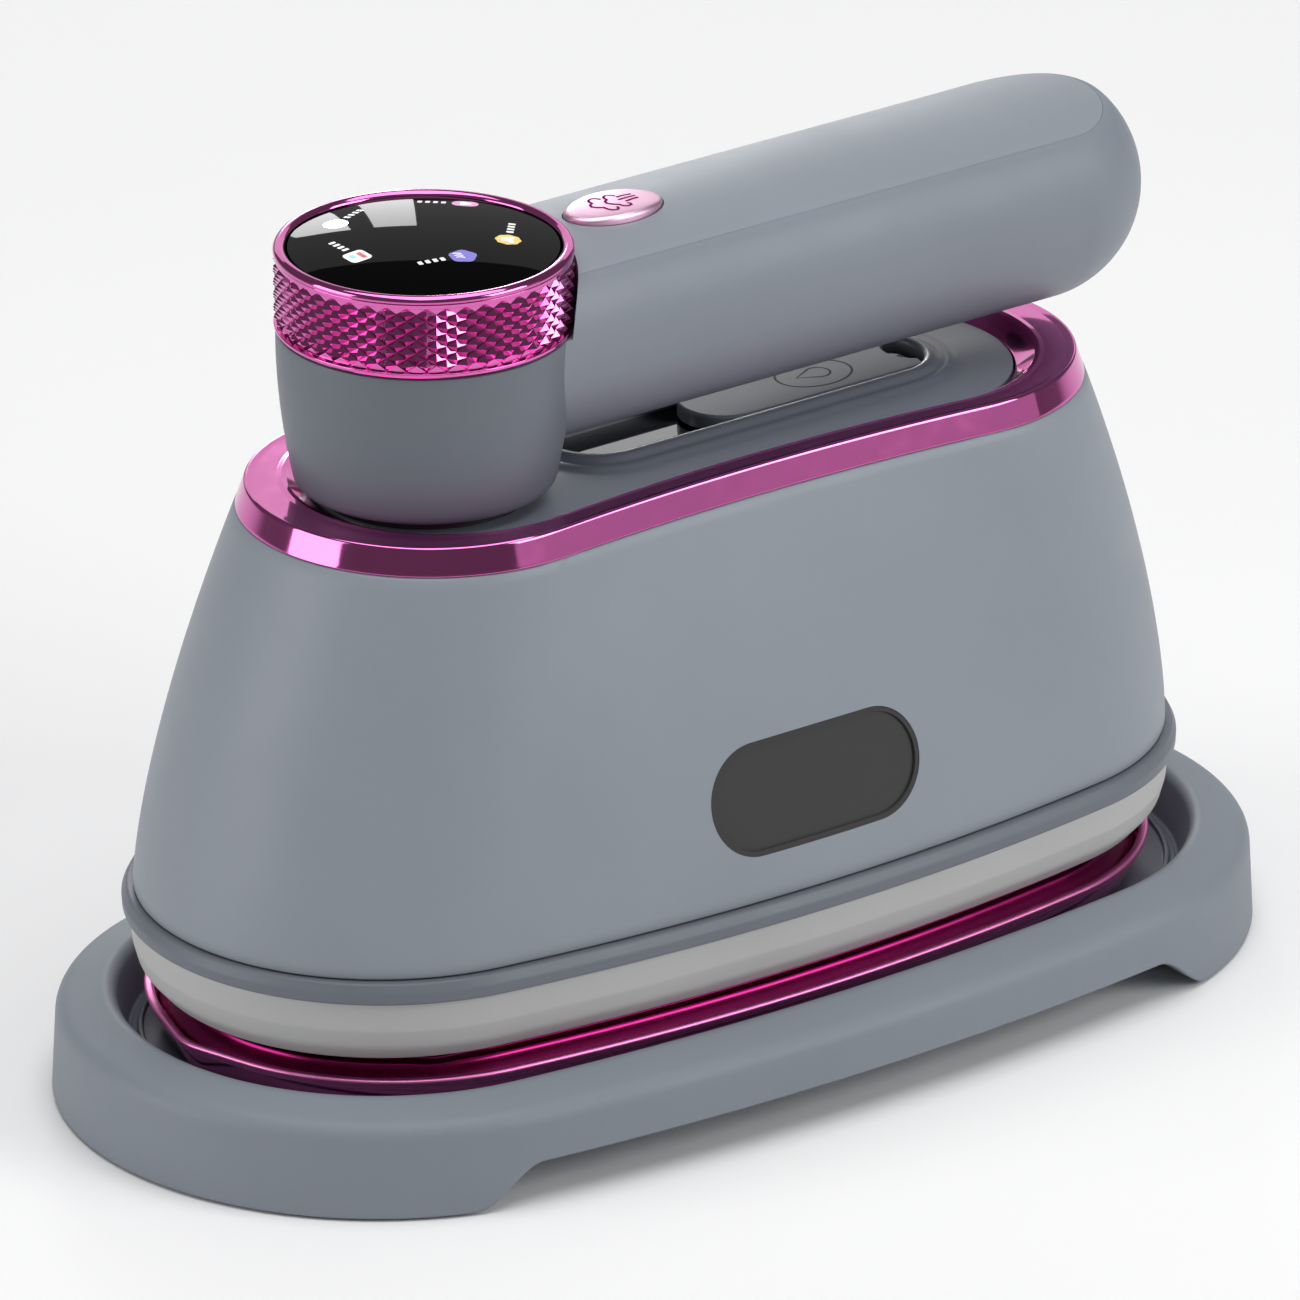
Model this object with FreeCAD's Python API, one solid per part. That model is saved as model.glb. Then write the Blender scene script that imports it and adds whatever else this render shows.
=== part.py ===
import FreeCAD, Part
import math
import os

# Garment steamer: a small steam iron on its stand tray, with a swivel grip.
# Frame: millimetres, +X towards the free end of the grip, +Z up.
# The origin is under the middle of the tray, on the surface it stands on.

V = FreeCAD.Vector
UP = V(0, 0, 1)
ALONG = V(1, 0, 0)
EPS = 0.5           # overshoot of cutters

# stand tray
TRAY_HALF_LEN = 107.5
TRAY_HALF_WID = 56.0
TRAY_END_R = 52.5
TRAY_EDGE_Z = 15.3      # outer top edge
TRAY_EDGE_IN = 0.8      # draft of the outer wall up to that edge
TRAY_LIP_Z = 18.0       # crest round the pocket
TRAY_LIP_IN = 10.0
TRAY_FLOOR_Z = 9.5
TRAY_FLOOR_IN = 12.2
TRAY_ARCH_Z = 7.0
ARCH_HALF = 61.5        # flat part of the arch between the feet
FOOT_START = 73.0       # where each foot reaches its full depth
PAD_R = 5.0
PAD_X = 88.0
PAD_Y = 26.0
PAD_SINK = 0.8
PAD_PROUD = 0.4
MAT_T = 0.5
MAT_IN = 12.6
RIB_T = 1.0
RIB_H = 0.25            # ribs under the sole
RIDGE_IN = 13.6         # ridge round the sole
RIDGE_H = 0.8
RIB_INS = (24.0, 36.0)

# sole and collar
SOLE_CX = -1.6
SOLE_HALF_LEN = 90.9
SOLE_HALF_WID = 43.9
SOLE_END_R = 40.0
SOLE_TIP_X = -94.3
SOLE_Z0 = 10.5
SOLE_Z1 = 17.6
SOLE_FLARE = 3.5
SOLE_LIP = 1.8
SOLE_FLOOR_Z = 13.5
STEAM_HOLE_R = 1.1
COLLAR_T = 1.2
COLLAR_TOP_Z = 20.6
COLLAR_BOSS_X = -68.0
COLLAR_BOSS_Y = 32.6
COLLAR_BOSS_R = 1.6

# heater
BLOCK_HALF_LEN = 80.0
BLOCK_HALF_WID = 33.0
BLOCK_END_R = 29.0
BLOCK_Z1 = 23.5
CHAMBER_X = 50.0
CHAMBER_HALF = 16.0
CHAMBER_DEPTH = 6.0
COIL_X = -35.0
COIL_R = 24.0
COIL_TUBE_R = 3.6
COIL_PIN_R = 1.2
COIL_Z = 20.4
COIL_X1 = 57.0
COIL_PIN = 7.0
HEATER_BOSS_X = 66.0
HEATER_BOSS_Y = 14.0
HEATER_BOSS_R = 3.5
LID_T = 2.0
THERMOSTAT_X = 66.0
THERMOSTAT_R = 7.5
FUSE_X = -70.0
FUSE_R = 2.0
SCREW_PILOT_R = 1.4
SCREW_PASS_R = 1.6

# lower band, skirt and shell
BODY_CX = -0.95
BAND_HALF_LEN = 93.6
BAND_HALF_WID = 44.4
BAND_END_R = 40.2
BAND_Z0 = 20.7
BAND_Z1 = 31.6
BAND_T = 2.2
FRAME_Z = 28.6
FRAME_T = 2.0
FRAME_SCREWS = [(sx * 66.0 + BODY_CX, sy * 30.0) for sx in (1, -1) for sy in (1, -1)]
FRAME_POST_R = 4.6
WIRE_HOLE_X = 50.0
WIRE_HOLE_R = 8.0
SKIRT_PROUD = 1.3
SKIRT_Z0 = 31.7
SKIRT_Z1 = 35.1
SKIRT_T = 3.0
SHELL_Z0 = 35.25
SHELL_Z1 = 96.8
SHELL_HALF_LEN = 93.2
SHELL_HALF_WID = 43.8
SHELL_END_R = 39.6
SHELL_T = 2.2
LEDGE_T = 2.0

# trim ring and deck
TOP_CX = 0.8
TRIM_HALF_LEN = 76.4
TRIM_WAIST = 28.5
TRIM_END_R = 30.9
TRIM_Z0 = 96.9
TRIM_Z1 = 101.3
TRIM_LEAN = 1.6
TRIM_FACE_LEN = 68.5
TRIM_FACE_WAIST = 22.9
TRIM_FACE_R = 25.3
DECK_HALF_LEN = 64.1
DECK_WAIST = 20.2
DECK_END_R = 22.6
DECK_Z0 = 96.9
DECK_Z1 = 99.5
DECK_GAP = 0.3
LEDGE_HALF_LEN = 63.0
LEDGE_WAIST = 16.1
LEDGE_END_R = 21.0
SLOT_X0 = -20.5
SLOT_X1 = 50.5
SLOT_HALF = 7.9
LIP_W = 3.3
LIP_Z = 100.7
CHANNEL_Z = 98.7
CHANNEL_HALF = SLOT_HALF + 1.5

# water level window
PANE_HALF_LEN = 20.6
PANE_HALF_H = 9.0
PANE_Z = 51.6
GASKET_W = 0.8

# tank and its sliding cover
TANK_X0 = -25.0
TANK_X1 = 58.0
TANK_Z0 = 46.0
TANK_Z1 = 94.4
TANK_HALF_BOTTOM = 33.0
TANK_HALF_TOP = 20.0
TANK_CORNER = 9.0
TANK_T = 1.6
NECK_HALF = SLOT_HALF + 1.3
NECK_Z = 97.2
FILLER_X = 38.0
FILLER_R = 5.5
SEAL_W = 1.4
SEAL_T = 0.3
TANK_SPOUT_Z = 52.0
COVER_X0 = 5.2
COVER_X1 = 47.6
COVER_HALF = SLOT_HALF - 0.4
COVER_Z0 = 97.75
COVER_Z1 = 100.2
COVER_FLANGE_T = 0.6
COVER_FLANGE_HALF = SLOT_HALF + 1.1
COVER_SCOOP_R = 5.5
COVER_SCOOP_OFF = 3.4
BADGE_X = 30.5
BADGE_R = 5.3
BADGE_LINE = 0.4
BADGE_STRETCH = 1.3

# pump, hoses and control board
PUMP_X0 = -72.0
PUMP_X1 = -38.0
PUMP_Z = 47.0
PUMP_R = 9.5
HOSE_X = -44.0
HOSE_R = 3.4
SPOUT_R = 2.05
SPOUT_BORE_R = 1.1
CONTROL_X = 70.0
CONTROL_HALF = 18.0
CONTROL_Z1 = 78.0

# swivel
AXIS_X = -46.0
SPINDLE_R = 12.0
SPINDLE_WALL = 3.0
SPINDLE_HEAD_R = SPINDLE_R + 3.5
SPINDLE_HEAD_T = 1.8
SPINDLE_Z0 = 78.0
SWIVEL_FIT = 0.05
SOCKET_WALL = 2.45
SOCKET_R = SPINDLE_R + SWIVEL_FIT + SOCKET_WALL
SOCKET_Z0 = 80.0
SOCKET_Z1 = 100.9
SOCKET_FLANGE_R = SOCKET_R + 3.0
SOCKET_FLANGE_T = 2.1
CLIP_R = SPINDLE_R + 3.4
WASHER_R0 = SOCKET_R + 0.5
WASHER_R1 = WASHER_R0 + 1.9

# grip
BARREL_Z0 = 101.6
BARREL_Z1 = 127.0
BARREL_R0 = 20.5
BARREL_R1 = 23.2
BARREL_RM = 22.35
BARREL_CAVITY_R = 18.2
BARREL_FLOOR_T = 2.0
GRIP_R = 19.25
GRIP_Z = 123.3
GRIP_X1 = 72.3
GRIP_T = 2.2
CREST_Z = 137.7
CREST_R = 48.0
COVER_T = 2.4
SPLIT_HALF = 14.3
SPLIT_END = 12.0
SPLIT_GAP = 0.1
DIAL_SLOT_R = 24.0
GRIP_SCREWS = [(45.0, 0.0), (64.0, 0.0)]
GRIP_BOSS_R = 3.9
GRIP_BOSS_TOP = 119.8
GRIP_POST_R = 3.2
GRIP_HEAD_Z = 108.0
GRIP_LEDGE_Z = 130.0
CRADLE_X = (-12.0, 24.0)
CRADLE_T = 1.6

# dial and display
DIAL_R = 23.5
DIAL_BORE_R = 21.5
DIAL_Z0 = 127.3
DIAL_Z1 = 140.8
DIAL_FLANGE_T = 1.9
HUB_R = 20.0
HUB_SHOULDER_R = 21.1
HUB_FIT = 0.05
LENS_R = 21.2
LENS_Z0 = 137.5
LENS_EDGE_Z = 140.2
LENS_TOP_Z = 141.9

# steam button
BUTTON_X = -9.3
BUTTON_HALF_LEN = 8.8
BUTTON_HALF_WID = 5.5
BUTTON_GAP = 0.25
BUTTON_TOP_Z = 139.0
BUTTON_FLANGE_Z = 134.6
BUTTON_FLANGE_T = 0.9
BUTTON_TRAVEL = 1.5
STEM_R = 2.2
STEM_Z0 = 128.4
GUIDE_Z0 = 128.8
GUIDE_Z1 = 130.3
GUIDE_HALF = 9.8
SPRING_WIRE_R = 0.3
SPRING_R = 3.2
SPRING_TURNS = 3.0
BOARD_Z = 121.0
BOARD_T = 1.6

# cord inlet
GLAND_R = 6.0
GLAND_BORE_R = 3.4
GLAND_X0 = 83.0
GLAND_X1 = 91.0


# ---------- outlines ----------

def rounded(half_len, half_wid, end_r, z, cx=0.0):
    """Closed outline of two end arcs joined by two side arcs, bulging or waisted."""
    side = half_wid - end_r
    if abs(side) < 0.05:
        side = 0.05
        half_wid = end_r + side
    reach = half_len - end_r
    side_r = (reach ** 2 + half_wid ** 2 - end_r ** 2) / (2.0 * side)
    span = math.hypot(reach, half_wid - side_r)
    sign = math.copysign(1.0, side_r)
    tx = reach + end_r * sign * reach / span
    ty = end_r * sign * (side_r - half_wid) / span

    def at(x, y):
        return V(cx + x, y, z)

    arcs = [
        Part.Arc(at(tx, -ty), at(half_len, 0), at(tx, ty)),
        Part.Arc(at(tx, ty), at(0, half_wid), at(-tx, ty)),
        Part.Arc(at(-tx, ty), at(-half_len, 0), at(-tx, -ty)),
        Part.Arc(at(-tx, -ty), at(0, -half_wid), at(tx, -ty)),
    ]
    return Part.Wire([arc.toShape() for arc in arcs])


def stadium(x0, x1, half, z):
    """Closed outline with straight sides and round ends reaching x0 and x1."""
    a, b = x0 + half, x1 - half
    edges = [
        Part.makeLine(V(a, -half, z), V(b, -half, z)),
        Part.Arc(V(b, -half, z), V(x1, 0, z), V(b, half, z)).toShape(),
        Part.makeLine(V(b, half, z), V(a, half, z)),
        Part.Arc(V(a, half, z), V(x0, 0, z), V(a, -half, z)).toShape(),
    ]
    return Part.Wire(edges)


def prism(wire, height):
    return Part.Face(wire).extrude(V(0, 0, height))


def loft(wires, ruled=True):
    return Part.makeLoft(wires, True, ruled)


def cyl(radius, z0, z1, x=0.0, y=0.0):
    return Part.makeCylinder(radius, z1 - z0, V(x, y, z0))


def tube(outer, inner, z0, z1, x=0.0, y=0.0):
    return cyl(outer, z0, z1, x, y).cut(cyl(inner, z0 - EPS, z1 + EPS, x, y))


def box(x0, x1, y0, y1, z0, z1):
    return Part.makeBox(x1 - x0, y1 - y0, z1 - z0, V(x0, y0, z0))


def corners(x, y):
    return [(sx * x, sy * y) for sx in (1, -1) for sy in (1, -1)]


def join(shapes):
    first, *rest = shapes
    return first.fuse(rest).removeSplitter() if rest else first


def screws(points, head_z, tip_z, head_r=2.8, shank_r=1.4, head_h=1.8):
    """Identical screws at points; the head's bearing face is at head_z."""
    away = 1.0 if head_z > tip_z else -1.0
    out = []
    for x, y in points:
        z0, z1 = sorted((head_z, head_z + away * head_h))
        head = cyl(head_r, z0, z1, x, y)
        z0, z1 = sorted((tip_z, head_z))
        out.append(head.fuse(cyl(shank_r, z0, z1, x, y)).removeSplitter())
    return Part.makeCompound(out)


# ---------- stand tray ----------

def tray_outline(inset, z):
    return rounded(TRAY_HALF_LEN - inset, TRAY_HALF_WID - inset, TRAY_END_R - inset, z)


def arch_cutter():
    """Space under the tray between its feet, with an S-shaped run at each end."""
    run = FOOT_START - ARCH_HALF
    rise = TRAY_ARCH_Z - PAD_PROUD
    bend = (run ** 2 + rise ** 2) / (4.0 * rise)
    turn = math.asin(run / (2.0 * bend)) / 2.0
    dx, dz = bend * math.sin(turn), bend * (1.0 - math.cos(turn))
    wide = TRAY_HALF_WID + 5.0
    low, mid = PAD_PROUD, PAD_PROUD + rise / 2.0

    def at(x, z):
        return V(x, -wide, z)

    edges = []
    for s in (-1, 1):
        foot, half, flat = FOOT_START, FOOT_START - run / 2.0, ARCH_HALF
        edges.append(Part.makeLine(at(s * foot, low - 3), at(s * foot, low)))
        bends = [(at(s * foot, low), at(s * (foot - dx), low + dz), at(s * half, mid)),
                 (at(s * half, mid), at(s * (flat + dx), TRAY_ARCH_Z - dz), at(s * flat, TRAY_ARCH_Z))]
        edges += [Part.Arc(*bend_points).toShape() for bend_points in bends]
    edges.append(Part.makeLine(at(-ARCH_HALF, TRAY_ARCH_Z), at(ARCH_HALF, TRAY_ARCH_Z)))
    edges.append(Part.makeLine(at(-FOOT_START, low - 3), at(FOOT_START, low - 3)))
    wire = Part.Wire(Part.__sortEdges__(edges))
    return Part.Face(wire).extrude(V(0, 2 * wide, 0))


def tray_base():
    wall = loft([tray_outline(0, PAD_PROUD), tray_outline(TRAY_EDGE_IN, TRAY_EDGE_Z)])
    rim = loft([tray_outline(TRAY_EDGE_IN, TRAY_EDGE_Z), tray_outline(TRAY_LIP_IN, TRAY_LIP_Z)])
    pocket = loft([tray_outline(TRAY_FLOOR_IN, TRAY_FLOOR_Z),
                   tray_outline(TRAY_LIP_IN, TRAY_LIP_Z + 0.01)])
    body = wall.fuse(rim).cut(pocket).cut(arch_cutter())
    for x, y in corners(PAD_X, PAD_Y):
        body = body.cut(cyl(PAD_R, 0, PAD_PROUD + PAD_SINK, x, y))
    return body.removeSplitter()


def tray_foot_pads():
    return Part.makeCompound([cyl(PAD_R, 0, PAD_PROUD + PAD_SINK, x, y) for x, y in corners(PAD_X, PAD_Y)])


def tray_mat():
    top = TRAY_FLOOR_Z + MAT_T
    sheet = prism(tray_outline(MAT_IN, TRAY_FLOOR_Z), MAT_T)
    rings = []
    for inset, height in [(RIDGE_IN, RIDGE_H)] + [(rib, RIB_H) for rib in RIB_INS]:
        outer = prism(tray_outline(inset, top), height)
        rings.append(outer.cut(prism(tray_outline(inset + RIB_T, top - EPS), height + 2 * EPS)))
    return join([sheet] + rings)


# ---------- sole, collar and heater ----------

def sole_outline(inset, z):
    return rounded(SOLE_HALF_LEN - inset, SOLE_HALF_WID - inset, SOLE_END_R - inset, z, SOLE_CX)


def sole_nose(inset, z):
    """Shallow point added ahead of the front end arc, biting slightly into it."""
    centre = SOLE_CX - SOLE_HALF_LEN + SOLE_END_R
    reach = centre - SOLE_TIP_X - inset
    radius = SOLE_END_R - inset - 0.4
    half = math.acos(radius / reach)
    x = centre - radius * math.cos(half)
    y = radius * math.sin(half)
    points = [V(centre - reach, 0, z), V(x, y, z), V(centre, 0, z), V(x, -y, z)]
    return Part.makePolygon(points + points[:1])


def steam_holes(z0, z1):
    spots = []
    for i in range(9):
        x = -72.0 + 9.0 * i
        half = min(24.0, 6.0 + 0.45 * (x + 84.0))
        spots += [(x, half), (x, -half)]
    spots += [(-80.0 + 8.0 * i, 0.0) for i in range(5)]
    return [cyl(STEAM_HOLE_R, z0, z1, x, y) for x, y in spots]


def sole_plate():
    levels = ((SOLE_FLARE, SOLE_Z0), (0.6, SOLE_Z1 - 1.4), (0.0, SOLE_Z1))
    plate = loft([sole_outline(inset, z) for inset, z in levels])
    nose = loft([sole_nose(inset, z) for inset, z in levels])
    dish = prism(sole_outline(SOLE_LIP, SOLE_FLOOR_Z), SOLE_Z1)
    body = plate.fuse(nose).cut(dish)
    return body.cut(steam_holes(SOLE_Z0 - EPS, SOLE_FLOOR_Z + EPS)).removeSplitter()


def collar_levels(inset):
    """Waisted section: foot, throat and top flange."""
    levels = ((2.1, SOLE_FLOOR_Z), (2.6, 15.6), (5.6, 18.2), (4.4, 19.8), (2.6, COLLAR_TOP_Z))
    return [sole_outline(step + inset, z) for step, z in levels]


def sole_collar():
    outer = loft(collar_levels(0.0))
    inner = loft(collar_levels(COLLAR_T))
    body = outer.cut(inner)
    for sy in (1, -1):
        boss = cyl(COLLAR_BOSS_R, 17.4, COLLAR_TOP_Z, COLLAR_BOSS_X, sy * COLLAR_BOSS_Y)
        body = body.fuse(boss.cut(inner))
    return body.removeSplitter()


def heater_rod():
    bend = Part.makeTorus(COIL_R, COIL_TUBE_R, V(COIL_X, 0, COIL_Z), UP, 0, 360)
    wide = COIL_R + COIL_TUBE_R + 1
    half = box(COIL_X - wide, COIL_X, -wide, wide, COIL_Z - wide, COIL_Z + wide)
    pieces = [bend.common(half)]
    for sy in (1, -1):
        start = V(COIL_X, sy * COIL_R, COIL_Z)
        pieces.append(Part.makeCylinder(COIL_TUBE_R, COIL_X1 - COIL_X, start, ALONG))
        pieces.append(Part.makeCylinder(COIL_PIN_R, COIL_X1 + COIL_PIN - COIL_X, start, ALONG))
    return join(pieces)


def heater_block():
    body = prism(rounded(BLOCK_HALF_LEN, BLOCK_HALF_WID, BLOCK_END_R, SOLE_FLOOR_Z, SOLE_CX),
                 BLOCK_Z1 - SOLE_FLOOR_Z)
    chamber = prism(stadium(-CHAMBER_X, CHAMBER_X, CHAMBER_HALF, BLOCK_Z1 - CHAMBER_DEPTH),
                    CHAMBER_DEPTH + EPS)
    body = body.cut(chamber)
    for x, y in corners(HEATER_BOSS_X, HEATER_BOSS_Y):
        body = body.fuse(cyl(HEATER_BOSS_R, BLOCK_Z1 - EPS, FRAME_Z, x, y))
        body = body.cut(cyl(SCREW_PILOT_R, BLOCK_Z1 - 2.0, FRAME_Z + EPS, x, y))
    for hole in steam_holes(SOLE_FLOOR_Z - EPS, BLOCK_Z1 - CHAMBER_DEPTH + EPS):
        spot = hole.BoundBox.Center
        if abs(spot.x) < CHAMBER_X - 8 and abs(spot.y) < CHAMBER_HALF:
            body = body.cut(hole)
    return body.cut(heater_rod()).removeSplitter()


def chamber_lid():
    top = BLOCK_Z1 + LID_T
    body = prism(stadium(-CHAMBER_X - 4, CHAMBER_X + 4, CHAMBER_HALF + 2.5, BLOCK_Z1), LID_T)
    body = body.fuse(cyl(SPOUT_R, BLOCK_Z1, top + 3.5, HOSE_X))
    body = body.cut(cyl(SPOUT_BORE_R, BLOCK_Z1 - EPS, top + 4, HOSE_X))
    return body.removeSplitter()


def thermostat():
    can = cyl(THERMOSTAT_R, BLOCK_Z1, BLOCK_Z1 + 3.8, THERMOSTAT_X)
    tabs = []
    for x in (THERMOSTAT_X - 4.0, THERMOSTAT_X + 4.0):
        tabs.append(box(x - 1.5, x + 1.5, -0.3, 0.3, BLOCK_Z1 + 3.3, BLOCK_Z1 + 4.9))
    return join([can] + tabs)


def thermal_fuse():
    z = BLOCK_Z1 + FUSE_R
    can = Part.makeCylinder(FUSE_R, 11.0, V(FUSE_X, -5.5, z), V(0, 1, 0))
    leads = Part.makeCylinder(0.5, 17.0, V(FUSE_X, -8.5, z), V(0, 1, 0))
    return join([can, leads])


# ---------- base frame, skirt and shell ----------

def band_outline(inset, z):
    return rounded(BAND_HALF_LEN - inset, BAND_HALF_WID - inset, BAND_END_R - inset, z, BODY_CX)


def base_frame():
    """Heat-proof band with the mounting plate inside it."""
    steps = ((3.1, BAND_Z0), (1.0, 23.2), (0.2, 26.6), (0.0, BAND_Z1))
    outer = loft([band_outline(inset, z) for inset, z in steps])
    inner = loft([band_outline(inset + BAND_T, z) for inset, z in steps])
    plate = prism(band_outline(BAND_T - 0.2, FRAME_Z), FRAME_T)
    body = outer.cut(inner).fuse(plate)
    body = body.cut(cyl(HOSE_R + 0.8, FRAME_Z - EPS, FRAME_Z + FRAME_T + EPS, HOSE_X))
    body = body.cut(cyl(WIRE_HOLE_R, FRAME_Z - EPS, FRAME_Z + FRAME_T + EPS, WIRE_HOLE_X))
    for x, y in FRAME_SCREWS + corners(HEATER_BOSS_X, HEATER_BOSS_Y):
        body = body.cut(cyl(SCREW_PASS_R, FRAME_Z - EPS, FRAME_Z + FRAME_T + EPS, x, y))
    return body.removeSplitter()


def skirt_ring():
    out = -SKIRT_PROUD
    outer = loft([band_outline(out, SKIRT_Z0), band_outline(out - 0.1, SKIRT_Z1 - 1.6),
                  band_outline(out + 0.7, SKIRT_Z1)])
    return outer.cut(prism(band_outline(out + SKIRT_T, SKIRT_Z0 - EPS), SKIRT_Z1)).removeSplitter()


def shell_outline(inset, z):
    """Section of the tapering shell: full oval at the skirt, waisted at the top."""
    u = (z - SHELL_Z0) / (SHELL_Z1 - SHELL_Z0)
    ends = 1.0 - u ** 1.55
    sides = 1.0 - u ** 1.3
    top_len = TRIM_HALF_LEN + 0.1
    half_len = top_len + (SHELL_HALF_LEN - top_len) * ends
    half_wid = TRIM_WAIST + (SHELL_HALF_WID - TRIM_WAIST) * sides
    end_r = TRIM_END_R + (SHELL_END_R - TRIM_END_R) * sides
    cx = BODY_CX + (TOP_CX - BODY_CX) * u
    return rounded(half_len - inset, half_wid - inset, end_r - inset, z, cx)


def shell_volume(inset, z1=SHELL_Z1, count=7):
    levels = [SHELL_Z0 + (z1 - SHELL_Z0) * i / (count - 1.0) for i in range(count)]
    return loft([shell_outline(inset, z) for z in levels], ruled=False)


def pane_prism(inset):
    """Lying pill, extruded through the near wall of the shell."""
    half = PANE_HALF_H - inset
    wire = stadium(-PANE_HALF_LEN + inset, PANE_HALF_LEN - inset, half, 0)
    body = prism(wire, 30.0)
    body.rotate(V(0, 0, 0), ALONG, 90)
    body.translate(V(0, -30.0, PANE_Z))
    return body


def body_shell():
    wall = shell_volume(0.0).cut(shell_volume(SHELL_T, SHELL_Z1 - LEDGE_T))
    mouth = rounded(LEDGE_HALF_LEN, LEDGE_WAIST, LEDGE_END_R, SHELL_Z1 - LEDGE_T - EPS, TOP_CX)
    wall = wall.cut(prism(mouth, LEDGE_T + 2 * EPS)).cut(pane_prism(0.0))
    limit = shell_volume(0.6)
    top = SHELL_Z0 + 9.0
    for x, y in FRAME_SCREWS:
        post = cyl(FRAME_POST_R, SHELL_Z0, top, x, y).common(limit)
        foot = cyl(FRAME_POST_R - 1.0, FRAME_Z + FRAME_T, SHELL_Z0 + EPS, x, y)
        pilot = cyl(SCREW_PILOT_R, FRAME_Z, top - 1.5, x, y)
        wall = wall.fuse(post).fuse(foot).cut(pilot)
    return wall.removeSplitter()


def window_pane():
    sheet = shell_volume(0.55).cut(shell_volume(SHELL_T))
    return sheet.common(pane_prism(GASKET_W)).removeSplitter()


def window_gasket():
    sheet = shell_volume(0.12).cut(shell_volume(SHELL_T))
    frame = pane_prism(0.0).cut(pane_prism(GASKET_W))
    return sheet.common(frame).removeSplitter()


# ---------- trim, deck, tank and cover ----------

def top_outline(half_len, waist, end_r, inset, z):
    return rounded(half_len - inset, waist - inset, end_r - inset, z, TOP_CX)


def trim_ring():
    steps = ((0.0, TRIM_Z0), (TRIM_LEAN - 0.3, TRIM_Z1 - 0.5), (TRIM_LEAN, TRIM_Z1))
    outer = loft([top_outline(TRIM_HALF_LEN, TRIM_WAIST, TRIM_END_R, inset, z) for inset, z in steps])
    gap = -DECK_GAP
    throat = prism(top_outline(DECK_HALF_LEN, DECK_WAIST, DECK_END_R, gap, TRIM_Z0 - EPS), 10.0)
    dish = loft([top_outline(DECK_HALF_LEN, DECK_WAIST, DECK_END_R, gap, DECK_Z1 - 0.5),
                 top_outline(TRIM_FACE_LEN, TRIM_FACE_WAIST, TRIM_FACE_R, 0.0, TRIM_Z1 + 0.01)])
    return outer.cut(throat).cut(dish).removeSplitter()


def deck_panel():
    plate = prism(top_outline(DECK_HALF_LEN, DECK_WAIST, DECK_END_R, 0.0, DECK_Z0), DECK_Z1 - DECK_Z0)
    lip = loft([stadium(SLOT_X0 - LIP_W, SLOT_X1 + LIP_W, SLOT_HALF + LIP_W, DECK_Z1 - EPS),
                stadium(SLOT_X0 - LIP_W, SLOT_X1 + LIP_W, SLOT_HALF + LIP_W, DECK_Z1),
                stadium(SLOT_X0 - 1.4, SLOT_X1 + 1.4, SLOT_HALF + 1.4, LIP_Z)])
    body = plate.fuse(lip)
    body = body.cut(prism(stadium(SLOT_X0, SLOT_X1, SLOT_HALF, DECK_Z0 - EPS), 10.0))
    body = body.cut(prism(stadium(SLOT_X0 - 1, SLOT_X1 + 1, CHANNEL_HALF, DECK_Z0 - EPS),
                          CHANNEL_Z - DECK_Z0 + EPS))
    return body.cut(cyl(SOCKET_R + 0.2, DECK_Z0 - EPS, LIP_Z + 1, AXIS_X)).removeSplitter()


def tank_outline(inset, z):
    """Rounded rectangle that narrows with height."""
    u = (z - TANK_Z0) / (TANK_Z1 - TANK_Z0)
    half = TANK_HALF_BOTTOM + (TANK_HALF_TOP - TANK_HALF_BOTTOM) * u - inset
    x0, x1 = TANK_X0 + inset, TANK_X1 - inset
    r = TANK_CORNER - inset
    k = r * (1.0 - math.sqrt(0.5))
    edges = []
    corner = [(x1, half, 1, 1), (x0, half, -1, 1), (x0, -half, -1, -1), (x1, -half, 1, -1)]
    ends = []
    for x, y, sx, sy in corner:
        a, b = V(x, y - sy * r, z), V(x - sx * r, y, z)
        mid = V(x - sx * k, y - sy * k, z)
        if sx * sy < 0:
            a, b = b, a
        edges.append(Part.Arc(a, mid, b).toShape())
        ends.append((a, b))
    for i in range(4):
        edges.append(Part.makeLine(ends[i][1], ends[(i + 1) % 4][0]))
    return Part.Wire(Part.__sortEdges__(edges))


def water_tank():
    outer = loft([tank_outline(0.0, TANK_Z0), tank_outline(0.0, TANK_Z1)])
    inner = loft([tank_outline(TANK_T, TANK_Z0 + TANK_T), tank_outline(TANK_T, TANK_Z1 - TANK_T)])
    neck = prism(stadium(SLOT_X0 - 0.5, SLOT_X1 + 0.5, NECK_HALF, TANK_Z1 - EPS), NECK_Z - TANK_Z1 + EPS)
    spout = Part.makeCylinder(SPOUT_R, 6.0, V(TANK_X0 - 5.5, 0, TANK_SPOUT_Z), ALONG)
    way = Part.makeCylinder(SPOUT_BORE_R, 9.0, V(TANK_X0 - 6, 0, TANK_SPOUT_Z), ALONG)
    body = outer.fuse(neck).fuse(spout).cut(inner)
    body = body.cut(cyl(FILLER_R, TANK_Z1 - 3, NECK_Z + 1, FILLER_X)).cut(way)
    return body.removeSplitter()


def filler_seal():
    return tube(FILLER_R + SEAL_W, FILLER_R, NECK_Z, NECK_Z + SEAL_T, FILLER_X)


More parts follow.
